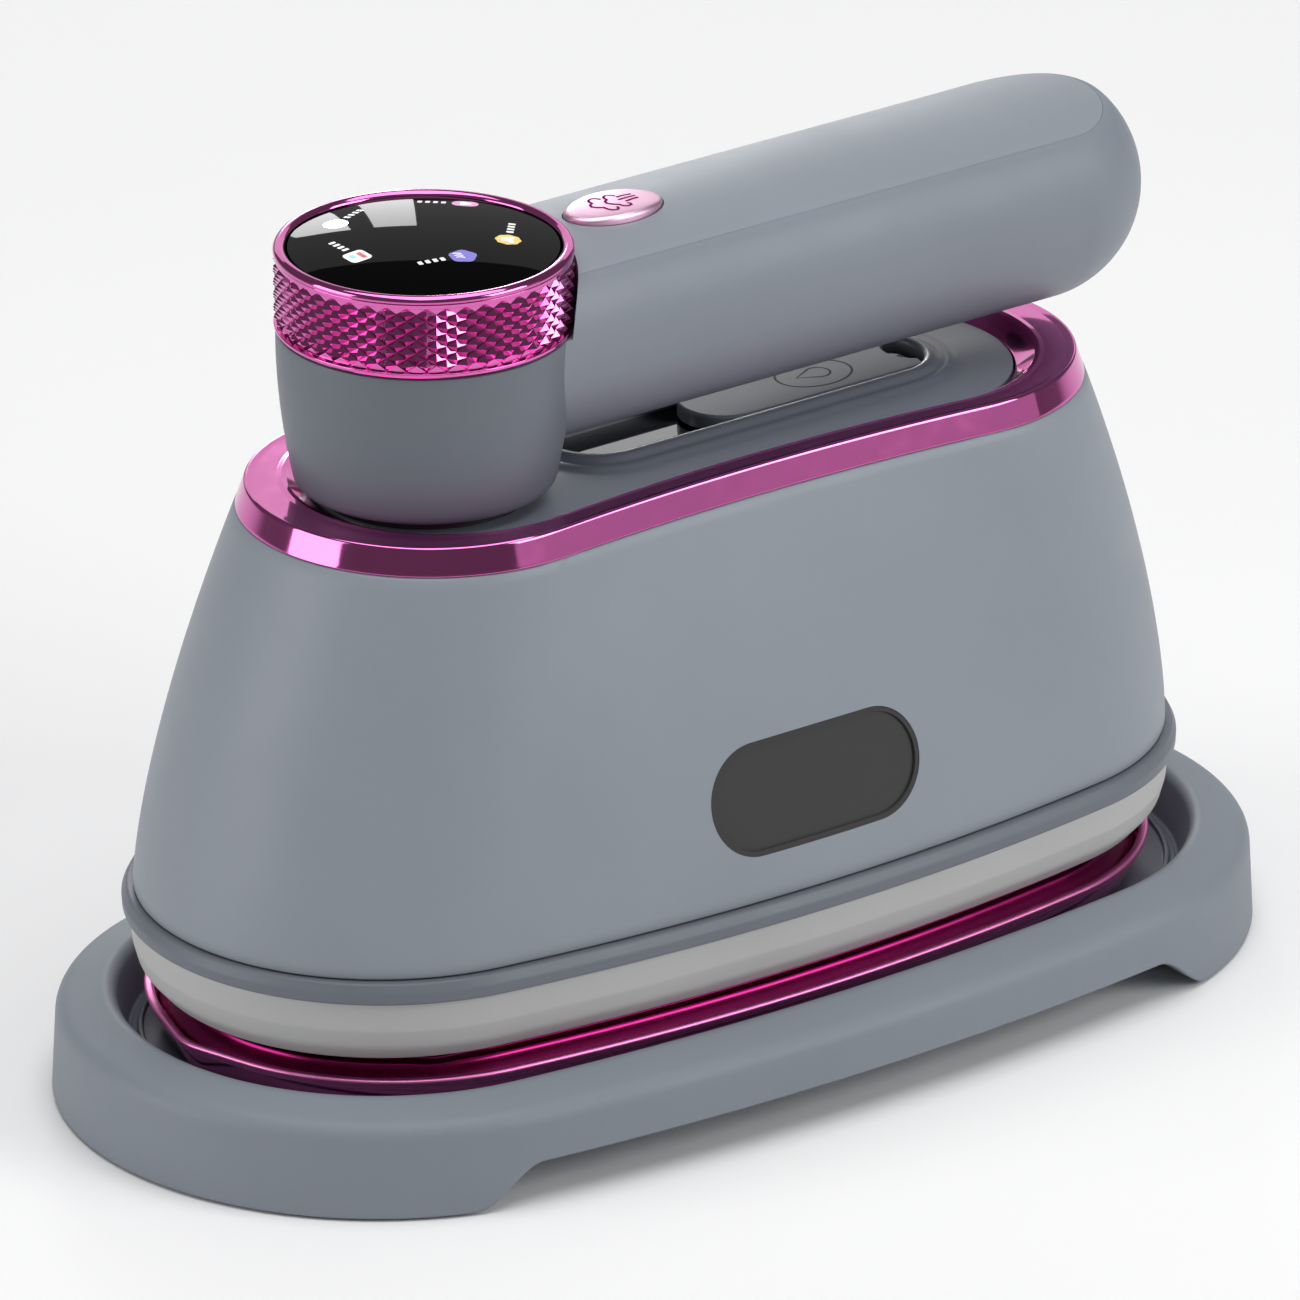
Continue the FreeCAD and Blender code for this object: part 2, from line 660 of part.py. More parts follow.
def tank_cover():
    half = COVER_HALF
    end = SLOT_X1 - (SLOT_HALF - half)
    top = prism(stadium(COVER_X0, end, half, COVER_Z0), COVER_Z1 - COVER_Z0)
    tail = box(COVER_X1, end + 1, -half - 1, half + 1, COVER_Z0 - 1, COVER_Z1 + 1)
    scoop = cyl(COVER_SCOOP_R, COVER_Z0 - 1, COVER_Z1 + 1, COVER_X1 + COVER_SCOOP_OFF)
    top = top.cut(tail).cut(scoop)
    flange = box(COVER_X0 + 9, COVER_X1 - 4, -COVER_FLANGE_HALF, COVER_FLANGE_HALF,
                 COVER_Z0, COVER_Z0 + COVER_FLANGE_T)
    body = top.fuse(flange)
    badge = tube(BADGE_R, BADGE_R - BADGE_LINE, COVER_Z1 - 0.3, COVER_Z1 + 1)
    stretch = FreeCAD.Matrix()
    stretch.scale(BADGE_STRETCH, 1.0, 1.0)
    badge = badge.transformGeometry(stretch)
    badge.translate(V(BADGE_X, 0, 0))
    return body.cut(badge).removeSplitter()


# ---------- pump, hoses and control board ----------

def pump():
    body = Part.makeCylinder(PUMP_R, PUMP_X1 - PUMP_X0, V(PUMP_X0, 0, PUMP_Z), ALONG)
    yoke = box(PUMP_X0 + 6, PUMP_X1 - 6, -PUMP_R - 1.5, PUMP_R + 1.5, PUMP_Z - 4, PUMP_Z + 4)
    feet = box(PUMP_X0 + 8, PUMP_X0 + 20, -6, 6, FRAME_Z + FRAME_T, PUMP_Z)
    inlet = Part.makeCylinder(SPOUT_R, 8.0, V(PUMP_X1 - 1, 0, TANK_SPOUT_Z), ALONG)
    outlet = cyl(SPOUT_R, PUMP_Z - PUMP_R - 3.5, PUMP_Z, HOSE_X)
    return join([body, yoke, feet, inlet, outlet])


def suction_hose():
    x0, x1 = PUMP_X1 + 0.2, TANK_X0 - 0.2
    outer = Part.makeCylinder(HOSE_R, x1 - x0, V(x0, 0, TANK_SPOUT_Z), ALONG)
    return outer.cut(Part.makeCylinder(SPOUT_R, x1 - x0 + 2, V(x0 - 1, 0, TANK_SPOUT_Z), ALONG))


def steam_hose():
    return tube(HOSE_R, SPOUT_R, BLOCK_Z1 + 2.2, PUMP_Z - PUMP_R - 0.2, HOSE_X)


def control_board():
    x = CONTROL_X
    sheet = box(x, x + BOARD_T, -CONTROL_HALF, CONTROL_HALF, FRAME_Z + FRAME_T, CONTROL_Z1)
    relay = box(x - 8, x, -12, 2, 52, 64)
    switch = box(x - 4.5, x, 6, 16, 40, 58)
    plug = box(x - 7, x, -10, 8, 70, 76)
    return join([sheet, relay, switch, plug])


# ---------- swivel ----------

def swivel_socket():
    under = SHELL_Z1 - LEDGE_T - 0.1
    body = cyl(SOCKET_R, SOCKET_Z0, SOCKET_Z1, AXIS_X)
    body = body.fuse(cyl(SOCKET_FLANGE_R, under - SOCKET_FLANGE_T, under, AXIS_X))
    return body.cut(cyl(SPINDLE_R + SWIVEL_FIT, SOCKET_Z0 - 1, SOCKET_Z1 + 1, AXIS_X)).removeSplitter()


def swivel_washer():
    return tube(WASHER_R1, WASHER_R0, DECK_Z1, BARREL_Z0 - 0.35, AXIS_X)


def swivel_spindle():
    floor = BARREL_Z0 + BARREL_FLOOR_T
    head = cyl(SPINDLE_HEAD_R, floor, floor + SPINDLE_HEAD_T, AXIS_X)
    body = cyl(SPINDLE_R, SPINDLE_Z0, floor, AXIS_X).fuse(head)
    return body.cut(cyl(SPINDLE_R - SPINDLE_WALL, SPINDLE_Z0 - 1, floor + 3, AXIS_X)).removeSplitter()


def swivel_clip():
    return tube(CLIP_R, SPINDLE_R, SPINDLE_Z0 + 0.1, SOCKET_Z0 - 0.35, AXIS_X)


# ---------- grip ----------

def capsule(inset):
    """Round grip from the swivel axis to its domed free end."""
    r = GRIP_R - inset
    start = V(AXIS_X, 0, GRIP_Z)
    body = Part.makeCylinder(r, GRIP_X1 - AXIS_X, start, ALONG)
    return body.fuse(Part.makeSphere(r, V(GRIP_X1, 0, GRIP_Z))).removeSplitter()


def crest(inset):
    """Wide shallow arc that cuts the top of the grip."""
    start = V(AXIS_X - 40, 0, CREST_Z - CREST_R)
    return Part.makeCylinder(CREST_R - inset, 200.0, start, ALONG)


def split_prism(inset, z0, z1):
    """Plan shape of the top cover: straight sides and an elliptical end."""
    half = SPLIT_HALF - inset
    end = SPLIT_END - inset
    turn = 90 if half >= end else 0
    ellipse = Part.Ellipse(V(0, 0, 0), max(half, end), min(half, end))
    nose = prism(Part.Wire([ellipse.toShape()]), z1 - z0)
    nose.rotate(V(0, 0, 0), UP, turn)
    nose.translate(V(GRIP_X1, 0, z0))
    return nose.fuse(box(AXIS_X, GRIP_X1, -half, half, z0, z1)).removeSplitter()


def barrel(inset=0.0):
    """Turret under the dial, widening upwards in a gentle curve."""
    z_mid = BARREL_Z0 + 0.42 * (BARREL_Z1 - BARREL_Z0)
    wall = Part.Arc(V(BARREL_R0 - inset, 0, BARREL_Z0), V(BARREL_RM - inset, 0, z_mid),
                    V(BARREL_R1 - inset, 0, BARREL_Z1)).toShape()
    top, low = V(0, 0, BARREL_Z1), V(0, 0, BARREL_Z0)
    edges = [wall, Part.makeLine(V(BARREL_R1 - inset, 0, BARREL_Z1), top), Part.makeLine(top, low),
             Part.makeLine(low, V(BARREL_R0 - inset, 0, BARREL_Z0))]
    body = Part.Face(Part.Wire(edges)).revolve(V(0, 0, 0), UP, 360)
    body.translate(V(AXIS_X, 0, 0))
    return body


def grip_shell():
    """Lower grip half, moulded in one with the turret barrel."""
    above = cyl(DIAL_SLOT_R, BARREL_Z1, BARREL_Z1 + 40, AXIS_X)
    solid = capsule(0.0).common(crest(0.0)).cut(above).fuse(barrel())
    hollow = capsule(GRIP_T).common(box(AXIS_X, 120, -40, 40, 90, GRIP_LEDGE_Z))
    hollow = hollow.cut(cyl(DIAL_SLOT_R + 2.0, 124.6, 160, AXIS_X))
    mouth = split_prism(1.6, GRIP_LEDGE_Z - 0.2, 140.0).cut(cyl(DIAL_SLOT_R + 2.0, 120, 160, AXIS_X))
    pocket = split_prism(-SPLIT_GAP, 132.6, 145.0)
    solid = solid.cut(hollow).cut(mouth).cut(pocket)
    solid = solid.cut(cyl(BARREL_CAVITY_R, BARREL_Z0 + BARREL_FLOOR_T, 125.1, AXIS_X))
    solid = solid.cut(cyl(HUB_SHOULDER_R + 0.1, 125.1, BARREL_Z1 + EPS, AXIS_X))
    solid = solid.cut(cyl(SPINDLE_R, BARREL_Z0 - 1, BARREL_Z0 + BARREL_FLOOR_T + EPS, AXIS_X))
    inner = capsule(GRIP_T - 0.4)
    for x in CRADLE_X:
        solid = solid.fuse(box(x, x + CRADLE_T, -10, 10, 104, BOARD_Z).common(inner))
    for x, y in GRIP_SCREWS:
        solid = solid.fuse(cyl(GRIP_BOSS_R, 104, GRIP_BOSS_TOP, x, y).common(inner))
        solid = solid.cut(cyl(3.0, 100, GRIP_HEAD_Z, x, y))
        solid = solid.cut(cyl(SCREW_PASS_R, 100, GRIP_BOSS_TOP + 1, x, y))
    bore = Part.makeCylinder(GLAND_R + 0.02, 20, V(80, 0, GRIP_Z), ALONG)
    return solid.cut(bore).removeSplitter()


def grip_cover():
    sheet = capsule(0.0).common(crest(0.0)).cut(crest(COVER_T))
    body = sheet.common(split_prism(0.0, 125.0, 145.0)).cut(cyl(DIAL_SLOT_R, 120, 150, AXIS_X))
    hole = oval_prism(BUTTON_HALF_LEN + BUTTON_GAP, BUTTON_HALF_WID + BUTTON_GAP, 130, 145)
    body = body.cut(hole)
    for x, y in GRIP_SCREWS:
        post = cyl(GRIP_POST_R, GRIP_BOSS_TOP + 0.2, CREST_Z - COVER_T + 0.3, x, y)
        body = body.fuse(post).cut(cyl(SCREW_PILOT_R, GRIP_BOSS_TOP, GRIP_LEDGE_Z, x, y))
    return body.removeSplitter()


def cord_gland():
    shank = Part.makeCylinder(GLAND_R, GLAND_X1 - GLAND_X0, V(GLAND_X0, 0, GRIP_Z), ALONG)
    shank = shank.common(capsule(0.05))
    collar = Part.makeCylinder(GLAND_R + 0.6, 1.6, V(GLAND_X0, 0, GRIP_Z), ALONG)
    collar = collar.common(capsule(GRIP_T))
    way = Part.makeCylinder(GLAND_BORE_R, 20, V(GLAND_X0 - 2, 0, GRIP_Z), ALONG)
    return shank.fuse(collar).cut(way).removeSplitter()


# ---------- steam button ----------

def oval_prism(half_len, half_wid, z0, z1):
    ellipse = Part.Ellipse(V(BUTTON_X, 0, z0), half_len, half_wid)
    return prism(Part.Wire([ellipse.toShape()]), z1 - z0)


def steam_button():
    cap = oval_prism(BUTTON_HALF_LEN, BUTTON_HALF_WID, BUTTON_FLANGE_Z - BUTTON_FLANGE_T, 145)
    dome_r = 60.0
    dome = Part.makeSphere(dome_r, V(BUTTON_X, 0, BUTTON_TOP_Z - dome_r))
    cap = cap.common(dome)
    flange = oval_prism(BUTTON_HALF_LEN + 1.0, BUTTON_HALF_WID + 1.0,
                        BUTTON_FLANGE_Z - BUTTON_FLANGE_T, BUTTON_FLANGE_Z)
    stem = cyl(STEM_R, STEM_Z0, BUTTON_FLANGE_Z, BUTTON_X)
    return join([cap, flange, stem])


def button_guide():
    plate = box(BUTTON_X - 8.5, BUTTON_X + 8.5, -GUIDE_HALF, GUIDE_HALF, GUIDE_Z0, GUIDE_Z1)
    plate = plate.cut(cyl(STEM_R + 0.08, GUIDE_Z0 - 1, GUIDE_Z1 + 1, BUTTON_X))
    y = GUIDE_HALF - 1.2
    under = CREST_Z - CREST_R + math.sqrt((CREST_R - COVER_T) ** 2 - GUIDE_HALF ** 2)
    posts = [cyl(1.2, GUIDE_Z0, under, BUTTON_X + dx, dy) for dx, dy in corners(6.0, y)]
    return join([plate] + posts)


def button_spring():
    z0, z1 = GUIDE_Z1 + SPRING_WIRE_R, BUTTON_FLANGE_Z - BUTTON_FLANGE_T - SPRING_WIRE_R
    helix = Part.makeHelix((z1 - z0) / SPRING_TURNS, z1 - z0, SPRING_R)
    profile = Part.Wire([Part.makeCircle(SPRING_WIRE_R, V(SPRING_R, 0, 0), V(0, 1, 0))])
    wire = Part.Wire(helix.Edges).makePipeShell([profile], True, True)
    wire.translate(V(BUTTON_X, 0, z0))
    return wire


def steam_switch():
    base = BOARD_Z + BOARD_T
    body = box(BUTTON_X - 3, BUTTON_X + 3, -3, 3, base, base + 3.4)
    return body.fuse(cyl(1.7, base, STEM_Z0 - BUTTON_TRAVEL - 0.1, BUTTON_X)).removeSplitter()


def grip_board():
    sheet = box(-20, 32, -11, 11, BOARD_Z, BOARD_Z + BOARD_T)
    chips = [box(8, 15, -4, 3, BOARD_Z + 1, BOARD_Z + BOARD_T + 1.2),
             box(20, 28, -7, 7, BOARD_Z + 1, BOARD_Z + BOARD_T + 4.0)]
    return join([sheet] + chips)


# ---------- dial ----------

def dial_hub():
    disc = cyl(HUB_SHOULDER_R, 125.2, BARREL_Z1 - 0.1, AXIS_X)
    neck = cyl(HUB_R, 125.2, LENS_Z0, AXIS_X)
    shoulder = cyl(HUB_SHOULDER_R, DIAL_Z0 + DIAL_FLANGE_T + 0.3, LENS_Z0, AXIS_X)
    body = join([disc, neck, shoulder])
    body = body.cut(cyl(HUB_R - 2.0, 127.2, LENS_Z0 - 4.0, AXIS_X))
    body = body.cut(cyl(HUB_SHOULDER_R - 0.8, LENS_Z0 - 4.0, LENS_Z0 + 1, AXIS_X))
    return body.cut(cyl(6.0, 124, 128, AXIS_X)).removeSplitter()


def dial_ring():
    """Knurled ring; the plain band carries the tip radius of its knurl."""
    inner, outer = DIAL_BORE_R, DIAL_R
    z0, z1, r = DIAL_Z0, DIAL_Z1, 0.9
    mid = (inner + outer) / 2.0
    edges = [
        Part.makeLine(V(HUB_R + HUB_FIT, 0, z0), V(outer - 0.3, 0, z0)),
        Part.makeLine(V(outer - 0.3, 0, z0), V(outer, 0, z0 + 0.3)),
        Part.makeLine(V(outer, 0, z0 + 0.3), V(outer, 0, z1 - r)),
        Part.Arc(V(outer, 0, z1 - r), V(mid, 0, z1), V(inner, 0, z1 - r)).toShape(),
        Part.makeLine(V(inner, 0, z1 - r), V(inner, 0, z0 + DIAL_FLANGE_T)),
        Part.makeLine(V(inner, 0, z0 + DIAL_FLANGE_T), V(HUB_R + HUB_FIT, 0, z0 + DIAL_FLANGE_T)),
        Part.makeLine(V(HUB_R + HUB_FIT, 0, z0 + DIAL_FLANGE_T), V(HUB_R + HUB_FIT, 0, z0)),
    ]
    body = Part.Face(Part.Wire(edges)).revolve(V(0, 0, 0), UP, 360)
    body.translate(V(AXIS_X, 0, 0))
    return body


def dial_sensor():
    return tube(16.5, 7.0, 127.3, 128.9, AXIS_X)


def display_board():
    board = cyl(HUB_SHOULDER_R - 0.9, LENS_Z0 - 3.9, LENS_Z0 - 2.3, AXIS_X)
    lamps = [cyl(2.2, LENS_Z0 - 2.4, LENS_Z0 - 0.8, AXIS_X + 13 * math.cos(a), 13 * math.sin(a))
             for a in [math.radians(72 * i + 20) for i in range(5)]]
    return join([board] + lamps)


def display_glass():
    rise = LENS_TOP_Z - LENS_EDGE_Z
    dome_r = (LENS_R ** 2 + rise ** 2) / (2.0 * rise)
    body = cyl(LENS_R, LENS_Z0, LENS_TOP_Z + 1, AXIS_X)
    return body.common(Part.makeSphere(dome_r, V(AXIS_X, 0, LENS_TOP_Z - dome_r)))


# ---------- screws ----------

def heater_screws():
    spots = corners(HEATER_BOSS_X, HEATER_BOSS_Y)
    return screws(spots, FRAME_Z + FRAME_T, BLOCK_Z1 - 1.0)


def frame_screws():
    return screws(FRAME_SCREWS, FRAME_Z, SHELL_Z0 + 5.0)


def grip_screws():
    return screws(GRIP_SCREWS, GRIP_HEAD_Z, GRIP_LEDGE_Z - 1.0)


# ---------- all pieces ----------

def pieces():
    return {
        "tray_base": tray_base,
        "tray_foot_pads": tray_foot_pads,
        "tray_mat": tray_mat,
        "sole_plate": sole_plate,
        "sole_collar": sole_collar,
        "heater_block": heater_block,
        "heater_rod": heater_rod,
        "chamber_lid": chamber_lid,
        "heater_screws": heater_screws,
        "thermostat": thermostat,
        "thermal_fuse": thermal_fuse,
        "base_frame": base_frame,
        "frame_screws": frame_screws,
        "skirt_ring": skirt_ring,
        "body_shell": body_shell,
        "window_pane": window_pane,
        "window_gasket": window_gasket,
        "trim_ring": trim_ring,
        "deck_panel": deck_panel,
        "water_tank": water_tank,
        "filler_seal": filler_seal,
        "tank_cover": tank_cover,
        "pump": pump,
        "suction_hose": suction_hose,
        "steam_hose": steam_hose,
        "control_board": control_board,
        "swivel_socket": swivel_socket,
        "swivel_washer": swivel_washer,
        "swivel_spindle": swivel_spindle,
        "swivel_clip": swivel_clip,
        "grip_shell": grip_shell,
        "grip_cover": grip_cover,
        "grip_screws": grip_screws,
        "cord_gland": cord_gland,
        "steam_button": steam_button,
        "button_guide": button_guide,
        "button_spring": button_spring,
        "steam_switch": steam_switch,
        "grip_board": grip_board,
        "dial_hub": dial_hub,
        "dial_ring": dial_ring,
        "dial_sensor": dial_sensor,
        "display_board": display_board,
        "display_glass": display_glass,
    }


def main():
    os.makedirs("parts", exist_ok=True)
    for name, build in pieces().items():
        shape = build()
        kinds = [solid.isValid() for solid in shape.Solids]
        print(name, "solids", len(kinds), "valid", all(kinds), "volume", round(shape.Volume, 1))
        shape.exportStep(os.path.join("parts", name + ".step"))


main()
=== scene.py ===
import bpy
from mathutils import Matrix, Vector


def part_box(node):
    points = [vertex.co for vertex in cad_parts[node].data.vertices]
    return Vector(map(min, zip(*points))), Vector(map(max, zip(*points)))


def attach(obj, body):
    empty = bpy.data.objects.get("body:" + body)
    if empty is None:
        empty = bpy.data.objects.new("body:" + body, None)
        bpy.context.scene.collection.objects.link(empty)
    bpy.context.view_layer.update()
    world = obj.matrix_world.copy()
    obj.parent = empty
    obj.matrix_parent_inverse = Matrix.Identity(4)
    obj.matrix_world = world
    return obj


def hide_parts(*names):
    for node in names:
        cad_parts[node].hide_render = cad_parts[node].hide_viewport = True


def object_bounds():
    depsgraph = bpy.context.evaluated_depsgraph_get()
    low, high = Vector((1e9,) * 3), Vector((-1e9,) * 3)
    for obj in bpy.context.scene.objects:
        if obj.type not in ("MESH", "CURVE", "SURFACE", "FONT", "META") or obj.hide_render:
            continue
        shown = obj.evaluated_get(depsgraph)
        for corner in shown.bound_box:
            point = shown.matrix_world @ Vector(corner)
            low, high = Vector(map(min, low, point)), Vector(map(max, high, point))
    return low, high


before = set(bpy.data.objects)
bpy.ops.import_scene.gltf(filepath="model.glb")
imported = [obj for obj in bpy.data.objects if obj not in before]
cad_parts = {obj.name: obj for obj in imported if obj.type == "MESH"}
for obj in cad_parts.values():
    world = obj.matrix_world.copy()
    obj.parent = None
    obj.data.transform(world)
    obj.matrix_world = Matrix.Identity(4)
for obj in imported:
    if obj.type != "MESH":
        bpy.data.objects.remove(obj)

"""Finished look of the garment steamer on its stand tray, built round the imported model.

Lengths in the sub-assembly classes are millimetres; meshes are written in metres.
"""
import logging
import math
from dataclasses import dataclass, replace
from enum import Enum
from functools import lru_cache
from typing import Callable, Dict, List, Optional, Sequence, Tuple

import bmesh
import bpy
import numpy as np
from mathutils import Vector

MM = 0.001
CAD_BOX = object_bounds()
LOG = logging.getLogger("steamer")
SHARP = 40.0
MERGE_DIST = 1e-7
MIN_SIDE = 0.05
STRAIGHT = math.pi / 2 - 0.02
CORNER_SHARE = 0.44
HOLD_SHARE = 0.12
HOLD_LIMIT = 0.49

Point2 = Tuple[float, float]
Rgb = Tuple[float, float, float]
Ring = np.ndarray


@lru_cache(maxsize=None)
def span(node: str) -> Tuple[np.ndarray, np.ndarray]:
    """Box of a CAD node.

    Args:
        node: name of the node.

    Returns:
        Its lowest and highest corners in millimetres.
    """
    low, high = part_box(node)
    return np.array(low) / MM, np.array(high) / MM


def srgb(colour: Rgb) -> Tuple[float, float, float, float]:
    """Display colour turned into scene colour.

    Args:
        colour: red, green and blue from 0 to 255.

    Returns:
        Linear red, green and blue with an alpha of 1.
    """
    out = []
    for value in colour:
        c = value / 255.0
        out.append(c / 12.92 if c <= 0.04045 else ((c + 0.055) / 1.055) ** 2.4)
    return out[0], out[1], out[2], 1.0


def ease(share: float) -> float:
    """S-shaped rise from 0 to 1."""
    return share * share * (3.0 - 2.0 * share)


def unit_rows(rows: np.ndarray) -> np.ndarray:
    """Rows of an array, each scaled to a length of 1."""
    return rows / np.linalg.norm(rows, axis=1)[:, None]


# ---------------------------------------------------------------- outlines

def arc(middle: Point2, radius: float, start: float, end: float, count: int) -> List[Point2]:
    """Points along an arc, both ends included.

    Args:
        middle: centre of the arc.
        radius: its radius.
        start: first angle in degrees.
        end: last angle in degrees.
        count: number of points.

    Returns:
        The points.
    """
    return [(middle[0] + radius * math.cos(a), middle[1] + radius * math.sin(a))
            for a in np.radians(np.linspace(start, end, count))]


@dataclass(frozen=True)
class Oval:
    """Closed outline of two end arcs joined by two side arcs, bulging or waisted."""

    half_len: float
    half_wid: float
    end_r: float
    cx: float = 0.0
    ends: int = 64
    sides: int = 56

    def inset(self, by: float) -> "Oval":
        """The parallel outline that lies `by` inside this one."""
        return replace(self, half_len=self.half_len - by, half_wid=self.half_wid - by,
                       end_r=self.end_r - by)

    def side_arc(self) -> Tuple[float, float, float]:
        """Radius of the side arc and where it meets the end arc.

        Returns:
            The signed side radius, the angle on the end arc and the half angle of the side arc.
        """
        side = self.half_wid - self.end_r
        if abs(side) < MIN_SIDE:
            side = MIN_SIDE
        half_wid = self.end_r + side
        reach = self.half_len - self.end_r
        radius = (reach ** 2 + half_wid ** 2 - self.end_r ** 2) / (2.0 * side)
        away = math.hypot(reach, half_wid - radius)
        sign = math.copysign(1.0, radius)
        tx = self.end_r * sign * reach / away
        ty = self.end_r * sign * (radius - half_wid) / away
        return radius, math.atan2(ty, tx), math.asin((reach + tx) / abs(radius))

    def ring(self, z: float) -> Ring:
        """Points of the outline at height `z`, from the +X tip towards +Y.

        Args:
            z: height in millimetres.

        Returns:
            An array of points that is symmetrical about the length and the width.
        """
        radius, edge, half = self.side_arc()
        reach = self.half_len - self.end_r
        sign = math.copysign(1.0, radius)
        quarter: List[Point2] = []
        for i in range(self.ends // 2):
            a = edge * i / (self.ends // 2)
            quarter.append((reach + self.end_r * math.cos(a), self.end_r * math.sin(a)))
        bulges = abs(self.half_wid - self.end_r) >= MIN_SIDE
        side = self.half_wid if bulges else self.end_r + MIN_SIDE
        for i in range(self.sides // 2 + 1):
            a = half * (1.0 - i / (self.sides // 2))
            quarter.append((abs(radius) * math.sin(a),
                            side - radius + sign * abs(radius) * math.cos(a)))
        back = quarter[:0:-1]
        flat = (quarter[:-1] + [(-x, y) for x, y in back]
                + [(-x, -y) for x, y in quarter[:-1]] + [(x, -y) for x, y in back])
        return np.array([(self.cx + x, y, z) for x, y in flat])

    def stack(self, section: Sequence[Point2]) -> List[Ring]:
        """Rings of a wall whose section is given as (inset, height) points."""
        return [self.inset(inset).ring(z) for inset, z in section]


@dataclass(frozen=True)
class OvalRun:
    """Outlines that change from one to the next along a distance."""

    keys: Tuple[Tuple[float, Oval], ...]

    def at(self, where: float) -> Oval:
        """Outline between the keyed ones.

        Args:
            where: distance along the run.

        Returns:
            The outline there, straight-line between its two neighbours.
        """
        spots = [key for key, _ in self.keys]
        names = ("half_len", "half_wid", "end_r", "cx")
        sizes = {n: float(np.interp(where, spots, [getattr(o, n) for _, o in self.keys]))
                 for n in names}
        return replace(self.keys[0][1], **sizes)


def soften(points: Sequence[Point2], radii: Sequence[float], steps: int = 5,
           closed: bool = False) -> List[Point2]:
    """Rounds the corners of a run of straight lines.

    Args:
        points: corners of the run.
        radii: radius at each corner, 0 for one that stays sharp.
        steps: segments in each rounding.
        closed: whether the last corner joins the first.

    Returns:
        The run with its roundings, and a point just outside each of them that holds the flats.
    """
    out: List[Point2] = []
    count = len(points)
    for i in range(count):
        here = np.array(points[i], float)
        if radii[i] <= 0 or (not closed and i in (0, count - 1)):
            out.append((float(here[0]), float(here[1])))
            continue
        a = np.array(points[i - 1], float) - here
        b = np.array(points[(i + 1) % count], float) - here
        la, lb = float(np.hypot(*a)), float(np.hypot(*b))
        a, b = a / la, b / lb
        half = math.acos(max(-1.0, min(1.0, float(a @ b)))) / 2.0
        if half > STRAIGHT:
            out.append((float(here[0]), float(here[1])))
            continue
        reach = min(radii[i] / math.tan(half), CORNER_SHARE * min(la, lb))
        radius = reach * math.tan(half)
        mid = (a + b) / np.hypot(*(a + b))
        centre = here + mid * radius / math.sin(half)
        start = here + a * reach - centre
        turn = math.pi - 2.0 * half
        if a[0] * b[1] - a[1] * b[0] > 0:
            turn = -turn
        hold = reach + min(HOLD_SHARE * min(la, lb), 0.4)
        out.append(tuple(here + a * min(hold, HOLD_LIMIT * la)))
        for k in range(steps + 1):
            t = turn * k / steps
            c, s = math.cos(t), math.sin(t)
            spot = centre + np.array((c * start[0] - s * start[1], s * start[0] + c * start[1]))
            out.append((float(spot[0]), float(spot[1])))
        out.append(tuple(here + b * min(hold, HOLD_LIMIT * lb)))
    return out


# ---------------------------------------------------------------- meshes

def stand(name: str, data: bpy.types.ID) -> bpy.types.Object:
    """A new object in the scene that shows the given mesh, light or camera."""
    thing = bpy.data.objects.new(name, data)
    bpy.context.scene.collection.objects.link(thing)
    return thing


def shade_mesh(mesh: bpy.types.Mesh, sharp: float) -> None:
    """Shades a mesh smooth but for edges that turn more than `sharp` degrees."""
    mesh.shade_smooth()
    mesh.set_sharp_from_angle(angle=math.radians(sharp))


def finish_mesh(name: str, build: bmesh.types.BMesh, sharp: float = SHARP) -> bpy.types.Object:
    """Closes a piece's mesh, turns its faces outwards and shades it.

    Args:
        name: name of the piece.
        build: its mesh in metres; it is freed here.
        sharp: edges that turn more than this many degrees stay crisp.

    Returns:
        The piece, with its place in its mesh.
    """
    bmesh.ops.remove_doubles(build, verts=build.verts, dist=MERGE_DIST)
    bmesh.ops.dissolve_degenerate(build, edges=build.edges, dist=MERGE_DIST)
    bmesh.ops.recalc_face_normals(build, faces=build.faces)
    return write_mesh(name, build, sharp)


def write_mesh(name: str, build: bmesh.types.BMesh, sharp: float) -> bpy.types.Object:
    """Writes a mesh as it is, frees its builder and puts it in the scene as a piece."""
    mesh = bpy.data.meshes.new(name)
    build.to_mesh(mesh)
    build.free()
    shade_mesh(mesh, sharp)
    return stand(name, mesh)


def add_skin(build: bmesh.types.BMesh, rings: Sequence[Ring],
             loop: bool = False) -> List[List[bmesh.types.BMVert]]:
    """Adds the wall through a stack of rings.

    Args:
        build: mesh that takes the wall.
        rings: rings with the same count of points, in millimetres.
        loop: whether the last ring joins the first.

    Returns:
        The corners of every ring.
    """
    verts = [[build.verts.new(Vector(p) * MM) for p in ring] for ring in rings]
    count = len(rings[0])
    pairs = list(zip(verts[:-1], verts[1:])) + ([(verts[-1], verts[0])] if loop else [])
    for low, high in pairs:
        for i in range(count):
            j = (i + 1) % count
            build.faces.new((low[i], low[j], high[j], high[i]))
    return verts


def add_rings(build: bmesh.types.BMesh, rings: Sequence[Ring], loop: bool = False) -> None:
    """Adds a closed skin through a stack of rings.

    Args:
        build: mesh that takes the skin.
        rings: rings with the same count of points, in millimetres.
        loop: whether the last ring joins the first; if not, both ends are closed across the width.
    """
    verts = add_skin(build, rings, loop)
    count = len(rings[0])
    for ring in () if loop else (verts[0], verts[-1]):
        for i in range(count // 2):
            corners = [ring[i], ring[i + 1], ring[(count - i - 1) % count], ring[(count - i) % count]]
            unique = list(dict.fromkeys(corners))
            if len(unique) > 2:
                build.faces.new(unique)


def ring_piece(name: str, rings: Sequence[Ring], loop: bool = False) -> bpy.types.Object:
    """A piece whose skin runs through a stack of rings, round a closed section if `loop`."""
    build = bmesh.new()
    add_rings(build, rings, loop)
    return finish_mesh(name, build)


